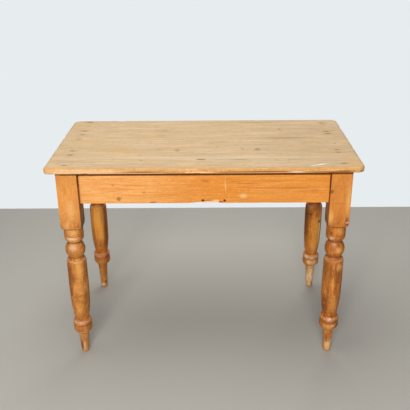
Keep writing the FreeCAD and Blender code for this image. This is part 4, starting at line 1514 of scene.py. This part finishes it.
def cornerShade(apron, leg):
    # Painted shade on the leg's side, in the corner that it makes with the apron
    low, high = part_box(apron)
    legLow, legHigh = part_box(leg)
    axis, across = longWay(low, high)
    at = Vector((0.0, 0.0, (low.z + high.z) / 2))
    at[axis] = innerOuter(legLow, legHigh, axis)[0]
    at[across] = innerOuter(low, high, across)[1]
    marks = []
    for rise, half, strength in ((0.0, 0.078, 0.5), (0.045, 0.050, 0.75)):
        size = Vector((0.0, 0.0, half))
        size[axis], size[across] = 0.0013, 0.034
        up = Vector((0.0, 0.0, rise))
        marks.append(spotMark(at + up, size, 2, lipShadow["colour"], strength, ragged=0.3, dull=True))
    return marks


def grooveShadeLines(look, shape, centre, blockBottom):
    # Painted shade in the grooves between the turnings and under the block: height, half height and strength
    beadBottom = blockBottom - shape["collarLength"] - shape["beadLength"]
    ballBottom = beadBottom - shape["neckLength"] - shape["ballLength"]
    lines = (
        (blockBottom + look["blockDrop"] - 0.0008, 0.0022, 0.85),
        (blockBottom - shape["collarLength"], 0.0014, 0.5),
        (beadBottom - shape["neckLength"] / 2, 0.0030, 0.6),
        (ballBottom - 0.001, 0.0026, 0.55),
        (look["peg"] + shape["ringLowerLength"], 0.0022, 0.5),
    )
    marks = []
    for z, half, strength in lines:
        at = (centre.x, centre.y, z)
        marks.append(spotMark(at, (0.08, 0.08, half), 2, deepBrown, strength, ragged=0.3, dull=True))
    return marks


def arcThrough(start, middle, end, step):
    # Points on the circle through three points, without the first
    (ax, ay), (bx, by), (cx, cy) = start, middle, end
    scale = 2.0 * (ax * (by - cy) + bx * (cy - ay) + cx * (ay - by))
    a2, b2, c2 = ax * ax + ay * ay, bx * bx + by * by, cx * cx + cy * cy
    ux = (a2 * (by - cy) + b2 * (cy - ay) + c2 * (ay - by)) / scale
    uy = (a2 * (cx - bx) + b2 * (ax - cx) + c2 * (bx - ax)) / scale
    radius = math.hypot(ax - ux, ay - uy)
    first = math.atan2(ay - uy, ax - ux)
    half = math.remainder(math.atan2(by - uy, bx - ux) - first, math.tau)
    sweep = half + math.remainder(math.atan2(cy - uy, cx - ux) - first - half, math.tau)
    count = max(3, math.ceil(abs(sweep) * radius / step))
    return [
        (ux + radius * math.cos(first + sweep * i / count), uy + radius * math.sin(first + sweep * i / count))
        for i in range(1, count + 1)
    ]


def lineTo(start, end, step):
    count = max(1, math.ceil(math.dist(start, end) / step))
    return [
        (start[0] + (end[0] - start[0]) * i / count, start[1] + (end[1] - start[1]) * i / count)
        for i in range(1, count + 1)
    ]


def trace(points, moves, step):
    # Draws on from the last point: straight to an end, or in an arc where a middle is given
    for middle, end in moves:
        points += arcThrough(points[-1], middle, end, step) if middle else lineTo(points[-1], end, step)


def smoothThrough(points, step):
    # A smooth line through the points, without the first
    line = []
    for i in range(len(points) - 1):
        before = points[max(i - 1, 0)]
        after = points[min(i + 2, len(points) - 1)]
        start, end = points[i], points[i + 1]
        count = max(1, math.ceil(math.dist(start, end) / step))
        for j in range(1, count + 1):
            t = j / count
            line.append(tuple(
                0.5 * (2 * start[k] + (end[k] - before[k]) * t
                       + (2 * before[k] - 5 * start[k] + 4 * end[k] - after[k]) * t * t
                       + (3 * start[k] - before[k] - 3 * end[k] + after[k]) * t ** 3)
                for k in range(2)
            ))
    return line


def between(inner, outer, share):
    return inner + (outer - inner) * share


def legOutline(shape, peg, blockBottom):
    # Radius and height, from the foot up to the block
    step = shape["outlineStep"]
    collar, bead = shape["collarRadius"], shape["beadRadius"]
    neck, ball, ledge = shape["neckRadius"], shape["ballRadius"], shape["ledgeRadius"]
    groove, grooveDepth = shape["ringGrooveRadius"], shape["grooveDepth"]
    beadTop = blockBottom - shape["collarLength"]
    neckTop = beadTop - shape["beadLength"]
    ballTop = neckTop - shape["neckLength"]
    ballBottom = ballTop - shape["ballLength"]
    ledgeBottom = ballBottom - shape["ledgeLength"]
    shoulderBottom = ledgeBottom - shape["shoulderLength"]
    ringTop = peg + shape["ringLength"]
    grooveTop = peg + shape["ringLowerLength"] + shape["ringGrooveWidth"] / 2
    grooveBottom = grooveTop - shape["ringGrooveWidth"]
    bodyLength = shoulderBottom - ringTop
    body = [
        (shape["bodyRadius"] * wide, shoulderBottom - bodyLength * down)
        for down, wide in reversed(shape["bodyCurve"])
    ]
    pegEnd, pegLow, pegLowHeight = shape["pegEndRadius"], shape["pegLowRadius"], shape["pegLowHeight"]
    out, up = shape["pegBend"]
    lowerRing = (shape["ringLowerRadius"], peg + shape["ringLowerLength"] * shape["ringLowerMiddle"])
    points = [(pegEnd, 0.0)]
    trace(points, (
        ((between(pegEnd, pegLow, out), pegLowHeight * up), (pegLow, pegLowHeight)),
        (None, (shape["pegTopRadius"], peg)),
        (None, (shape["ringUndersideRadius"], peg)),
        (lowerRing, (groove, grooveBottom)),
        (None, (groove, grooveTop)),
        ((shape["ringUpperRadius"], (grooveTop + ringTop) / 2), body[0]),
    ), step)
    points += smoothThrough(body, step)
    shoulderOut, shoulderDown = shape["shoulderBend"]
    ledgeOut, ledgeDown = shape["ledgeBend"]
    beadOut, beadDown = shape["beadBulge"]
    shoulderWidth = between(ledge, body[-1][0], shoulderOut)
    trace(points, (
        ((shoulderWidth, ledgeBottom - shape["shoulderLength"] * shoulderDown), (ledge, ledgeBottom)),
        ((between(neck, ledge, ledgeOut), ballBottom - shape["ledgeLength"] * ledgeDown), (neck, ballBottom)),
        ((ball, (ballBottom + ballTop) / 2), (neck, ballTop)),
        (None, (neck, neckTop)),
        (None, (neck + grooveDepth, neckTop)),
        ((bead * beadOut, beadTop - shape["beadLength"] * beadDown), (bead - grooveDepth, beadTop)),
        (None, (collar, beadTop)),
        (None, (collar, blockBottom)),
    ), step)
    return points


def reliefTable(outline, top):
    # For each millimetre of height, how far the outline stands out from its own slow average
    radii = []
    for i in range(int(top * 1000) + 1):
        near = [r for r, z in outline if abs(z - i / 1000) < 0.0028]
        radii.append(sum(near) / len(near) if near else radii[-1])
    reach = 11
    relief = []
    for i, radius in enumerate(radii):
        window = radii[max(0, i - reach):i + reach + 1]
        relief.append((radius - sum(window) / len(window)) / 0.0040)
    return relief


def pommelCurve(shape, half):
    # Height over the block's bottom, and the radius to which the lathe turned its corners there
    bottom = (shape["pommelRadius"], 0.0)
    corner = half * math.sqrt(2)
    out, up = shape["pommelBend"]
    middle = (between(bottom[0], corner, out), shape["pommelLength"] * up)
    return [bottom] + arcThrough(bottom, middle, (corner, shape["pommelLength"]), 0.001)


def radiusAt(curve, height):
    for (radius, level), (nextRadius, nextLevel) in zip(curve, curve[1:]):
        if height <= nextLevel:
            return radius + (nextRadius - radius) * max(0.0, height - level) / (nextLevel - level)
    return 1.0


def legKnocks(look, centre, blockBottom):
    chance = random.Random(look["seed"])
    knock = knockShape
    knocks = []
    for i in range(knock["count"]):
        kind = "ring" if i < knock["onRings"] else "column"
        lowest, highest = knock[kind + "Heights"]
        if kind == "ring":
            height = look["peg"] + chance.uniform(lowest, highest)
        else:
            height = chance.uniform(lowest, blockBottom + highest)
        angle = chance.uniform(0.0, math.tau)
        away = Vector((math.cos(angle), math.sin(angle), 0.0)) * knock["radius"]
        size = chance.uniform(*knock[kind + "Sizes"])
        sink = chance.uniform(*knock[kind + "Sinks"])
        knocks.append((Vector((centre.x, centre.y, height)) + away, size, sink))
    return knocks


def turnColumn(bm, outline, centre, shape):
    # Spins the outline and closes the foot. Gives back the open edge at the top.
    points = [bm.verts.new((centre.x + radius, centre.y, height)) for radius, height in outline]
    lines = [bm.edges.new(pair) for pair in zip(points, points[1:])]
    bmesh.ops.spin(
        bm, geom=points + lines, cent=centre, axis=(0.0, 0.0, 1.0), angle=math.tau,
        steps=shape["spinSteps"], use_merge=True, use_duplicate=False,
    )
    bmesh.ops.remove_doubles(bm, verts=bm.verts, dist=sameLevel)
    foot = [e for e in bm.edges if e.is_boundary and max(v.co.z for v in e.verts) < closeBy]
    bmesh.ops.edgeloop_fill(bm, edges=foot)
    return [e for e in bm.edges if e.is_boundary]


def squareBlock(bm, turned, low, high, shape):
    # The block, open below and cut finely at its rounded corners. Gives back its open edge.
    blockBetween(bm, low, high)
    roundEdges(bm, [e for e in edgesAlong(bm, 2) if e.verts[0] not in turned], shape["arrisRound"], 2)
    under = [f for f in facesOn(bm, 2, low.z) if f.verts[0] not in turned]
    bmesh.ops.delete(bm, geom=under, context="FACES_ONLY")
    pommelTop = low.z + shape["pommelLength"]
    cuts = [(2, level) for level in spaced(pommelTop, high.z, shape["blockStep"])]
    cuts += [(2, level) for level in spaced(low.z, pommelTop, shape["pommelStep"])]
    cuts += [(axis, level) for axis in (0, 1) for level in spaced(low[axis], high[axis], shape["pommelStep"])]
    for axis, level in cuts:
        cutFaces(bm, [f for f in bm.faces if f.verts[0] not in turned], axis, level)
    return [e for e in bm.edges if e.is_boundary and e.verts[0] not in turned]


def wearLeg(bm, turned, look, shape, centre, low, high):
    # The column is uneven and knocked, the block's faces are planed by hand, its corners turned off
    knocks = legKnocks(look, centre, low.z)
    pommel = pommelCurve(shape, (high.x - low.x) / 2)
    seed, unevenness = look["seed"], shape["unevenness"]
    for vertex in bm.verts:
        place = vertex.co.copy()
        outwards = Vector((place.x - centre.x, place.y - centre.y, 0.0))
        radius = outwards.length
        outwards.normalize()
        if vertex in turned:
            sway = unevenness * (ripple(place, (26.0, 26.0, 40.0), seed) - 0.4)
            vertex.co += outwards * (sway - dented(place, knocks)) * min(1.0, place.z / shape["pegLowHeight"])
        elif place.z < high.z - closeBy:
            sway = unevenness * 0.8 * (0.5 + 0.5 * ripple(place, (18.0, 18.0, 11.0), seed))
            allowed = radiusAt(pommel, place.z - low.z)
            allowed -= look["cornerWear"] * max(0.0, ripple(place, (30.0, 30.0, 60.0), seed + 5.0))
            vertex.co -= outwards * max(sway, radius - max(allowed, shape["collarRadius"] + 0.001))
        vertex.co.z += look["blockDrop"] * max(0.0, 1.0 - abs(place.z - low.z) / shape["dropReach"])


def legFinish(node, look, shape, centre, blockBottom, top):
    wood = dict(legWood, **{key: look[key] for key in ("shift", "heart", "lean")})
    for key in tintedColours:
        wood[key] = tintedBy(wood[key], look["tint"])
    wood["blotches"] = [(*layer, tintedBy(tone, look["tint"])) for *layer, tone in wood["blotches"]]
    peg = look["peg"]
    varnish = tintedBy(blockVarnish, look["blockTint"])
    wood["zones"] = (
        zone("Z", peg * 0.35, peg, look["pegPale"], (0.66, 0.335, 0.100), flip=True, uneven=0.12, rough=0.03),
        zone("Z", 0.002, 0.012, 0.5, (0.22, 0.13, 0.07), flip=True, uneven=0.02, rough=0.01),
        zone("Z", blockBottom - 0.01, blockBottom + 0.08, 0.55, varnish, uneven=0.05),
        dict(lipShadow, low=top - 0.0088, high=top - 0.0060),
    )
    wood["marks"] = [mark for apron in legAprons[node] for mark in cornerShade(apron, node)]
    wood["marks"] += marksFrom(columnMarks[node], columnMark, node)
    wood["marks"] += marksFrom(legMarks.get(node, ()), blockMark)
    wood["marks"] += grooveShadeLines(look, shape, centre, blockBottom)
    wood["knots"] = knotsFrom(legKnots.get(node, ()))
    return wood


def mortiseCutter(bm, apron, leg, shape):
    # One L-shaped hole for the tenon and its haunch, open at the top of the leg
    low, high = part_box(apron)
    legLow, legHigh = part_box(leg)
    axis, across = longWay(low, high)
    side = math.copysign(1.0, legLow[axis] + legHigh[axis])
    shoulder = abs(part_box("leg_front_left")[1][axis])
    middle = (low[across] + high[across]) / 2
    gap = shape["jointClearance"]
    half = apronShape["tenonThickness"] / 2 + gap
    tenonHigh = high.z - apronShape["upperShoulder"] + gap
    tip = high[axis] + shape["mortiseEndGap"]
    haunch = shoulder + apronShape["haunchLength"] + shape["mortiseEndGap"]
    overrun = 0.004
    corner = Vector((0.0, 0.0, low.z + apronShape["lowerShoulder"] - gap))
    opposite = Vector((0.0, 0.0, high.z + overrun))
    corner[axis], opposite[axis] = sorted((side * (shoulder - overrun), side * haunch))
    corner[across], opposite[across] = middle - half, middle + half
    mortise = bmesh.new()
    blockBetween(mortise, corner, opposite)
    cutAcross(mortise, 2, (tenonHigh,))
    deep = [f for f in facesOn(mortise, axis, side * haunch) if f.calc_center_median().z < tenonHigh]
    pushFaces(mortise, deep, axisVector(axis) * side * (tip - haunch))
    mesh = bpy.data.meshes.new("mortise")
    mortise.to_mesh(mesh)
    mortise.free()
    bm.from_mesh(mesh)
    bpy.data.meshes.remove(mesh)


def makeLeg(node, shape):
    look = legLooks[node]
    low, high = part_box(node)
    centre = Vector(((low.x + high.x) / 2, (low.y + high.y) / 2, 0.0))
    blockBottom = high.z - shape["blockLength"]
    blockLow = Vector((low.x, low.y, blockBottom))
    outline = legOutline(shape, look["peg"], blockBottom)
    bm = bmesh.new()
    collarLoop = turnColumn(bm, outline, centre, shape)
    turned = set(bm.verts)
    squareLoop = squareBlock(bm, turned, blockLow, high, shape)
    wearLeg(bm, turned, look, shape, centre, blockLow, high)
    bmesh.ops.triangle_fill(bm, use_beauty=True, edges=collarLoop + squareLoop)
    bmesh.ops.recalc_face_normals(bm, faces=bm.faces)
    wood = legFinish(node, look, shape, centre, blockBottom, high.z)
    piece = newPiece(bm, "worn_" + node, woodMaterial("wood_" + node, wood))

    # Mortises for the two aprons that meet here, and the holes of the nails driven into the leg
    cutters = bmesh.new()
    for apron in legAprons[node]:
        mortiseCutter(cutters, apron, node, shape)
    end = nails["nails_left_end" if centre.x < 0.0 else "nails_right_end"]
    overLeg = [place for place in end if low.y - 0.001 < place.y < high.y + 0.001]
    nailCutters(cutters, overLeg, nailShape["holeDepth"])
    carve(piece, cutters)

    relief = reliefTable(outline, blockBottom)
    innerSide = innerOuter(low, high, 0)[0]

    def formAt(co):
        # Turnings give their relief; on the block the turned-off corners are rubbed, and the band under the
        # top's lip, the line under the block and the leg's inner side get painted shade
        if co.z < blockBottom - 0.004:
            return relief[min(len(relief) - 1, int(round(co.z * 1000)))]
        radius = math.hypot(co.x - centre.x, co.y - centre.y)
        rubbed = min(0.5, max(0.0, (radius - 0.0455) / 0.004) * 0.42)
        underLip = max(0.0, 1.0 - (high.z - co.z) / 0.008)
        underBlock = max(0.0, 1.0 - abs(blockBottom - 0.0015 - co.z) / 0.003)
        inner = abs(abs(co.x) - abs(innerSide)) < 0.0005
        return rubbed - 1.3 * max(underLip, underBlock, 0.75 * inner)

    writeForm(piece, formAt)
    placePiece(piece, node, 42.0)


for node in legLooks:
    makeLeg(node, legShape)
    print(node, "made")


# Glue blocks: sawn offcuts rubbed into the corners under the top
blockShape = {
    "chamfer": 0.009,
    "arrisRound": 0.0006,
    "unevenness": 0.0005,
    "cutStep": 0.006,
    "roughBand": 0.012,
}
blockWood = {
    "ringWidth": 0.0045, "wander": 0.01, "waver": 0.0015,
    "heart": (0.0, 0.69), "lean": (0.01, 0.01),
    "pale": (0.56, 0.37, 0.19), "late": (0.4, 0.23, 0.1), "ringStrength": 0.6,
    "streak": (0.42, 0.26, 0.12), "streakStrength": 0.5,
    "patch": (0.47, 0.31, 0.17), "patchStrength": 0.5, "patchScale": (20.0, 30.0),
    "mottle": (0.4, 0.25, 0.12), "mottleStrength": 0.4,
    "fibre": (0.34, 0.2, 0.09), "fibreStrength": 0.45,
    "ringRelief": 0.3, "fibreRelief": 0.6, "bump": 0.6,
    "roughness": 0.78, "shine": 0.25,
}


def makeGlueBlock(node, seed, shape):
    low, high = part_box(node)
    middle = (low + high) / 2
    axis, across = longWay(low, high)
    inner = innerOuter(low, high, across)[0]
    bm = bmesh.new()
    blockBetween(bm, low, high)
    lower = [e for e in edgesAlong(bm, axis) if e.verts[0].co.z < low.z + closeBy]
    chamfered = [e for e in lower if abs(e.verts[0].co[across] - inner) < closeBy]
    roundEdges(bm, chamfered, shape["chamfer"], 1)
    free = [e for e in bm.edges if max(v.co.z for v in e.verts) < high.z - closeBy]
    sharp = [e for e in free if e.calc_face_angle(0.0) > 0.5]
    roundEdges(bm, sharp, shape["arrisRound"], 1)
    cutAcross(bm, axis, spaced(low[axis], high[axis], shape["cutStep"]))
    cutAcross(bm, 2, spaced(low.z, high.z, shape["cutStep"]))
    for vertex in bm.verts:
        place = vertex.co.copy()
        if place.z < high.z - 0.001 and abs(place[across] - inner) < shape["roughBand"]:
            amount = shape["unevenness"] * (0.5 + 0.5 * ripple(place, (60.0, 60.0, 60.0), seed))
            vertex.co[across] += math.copysign(amount, middle[across] - inner)
            if place.z < low.z + 0.002:
                vertex.co.z += amount
    bmesh.ops.recalc_face_normals(bm, faces=bm.faces)
    look = dict(blockWood, along="XY"[axis], shift=(seed * 1.7, seed * 0.6, seed * 2.3))
    piece = newPiece(bm, "sawn_" + node, woodMaterial("wood_" + node, look))
    placePiece(piece, node)


blockNodes = sorted(name for name in nodes if name.startswith("glue_block"))
for seed, node in enumerate(blockNodes):
    makeGlueBlock(node, seed + 1, blockShape)
print("glue blocks made")


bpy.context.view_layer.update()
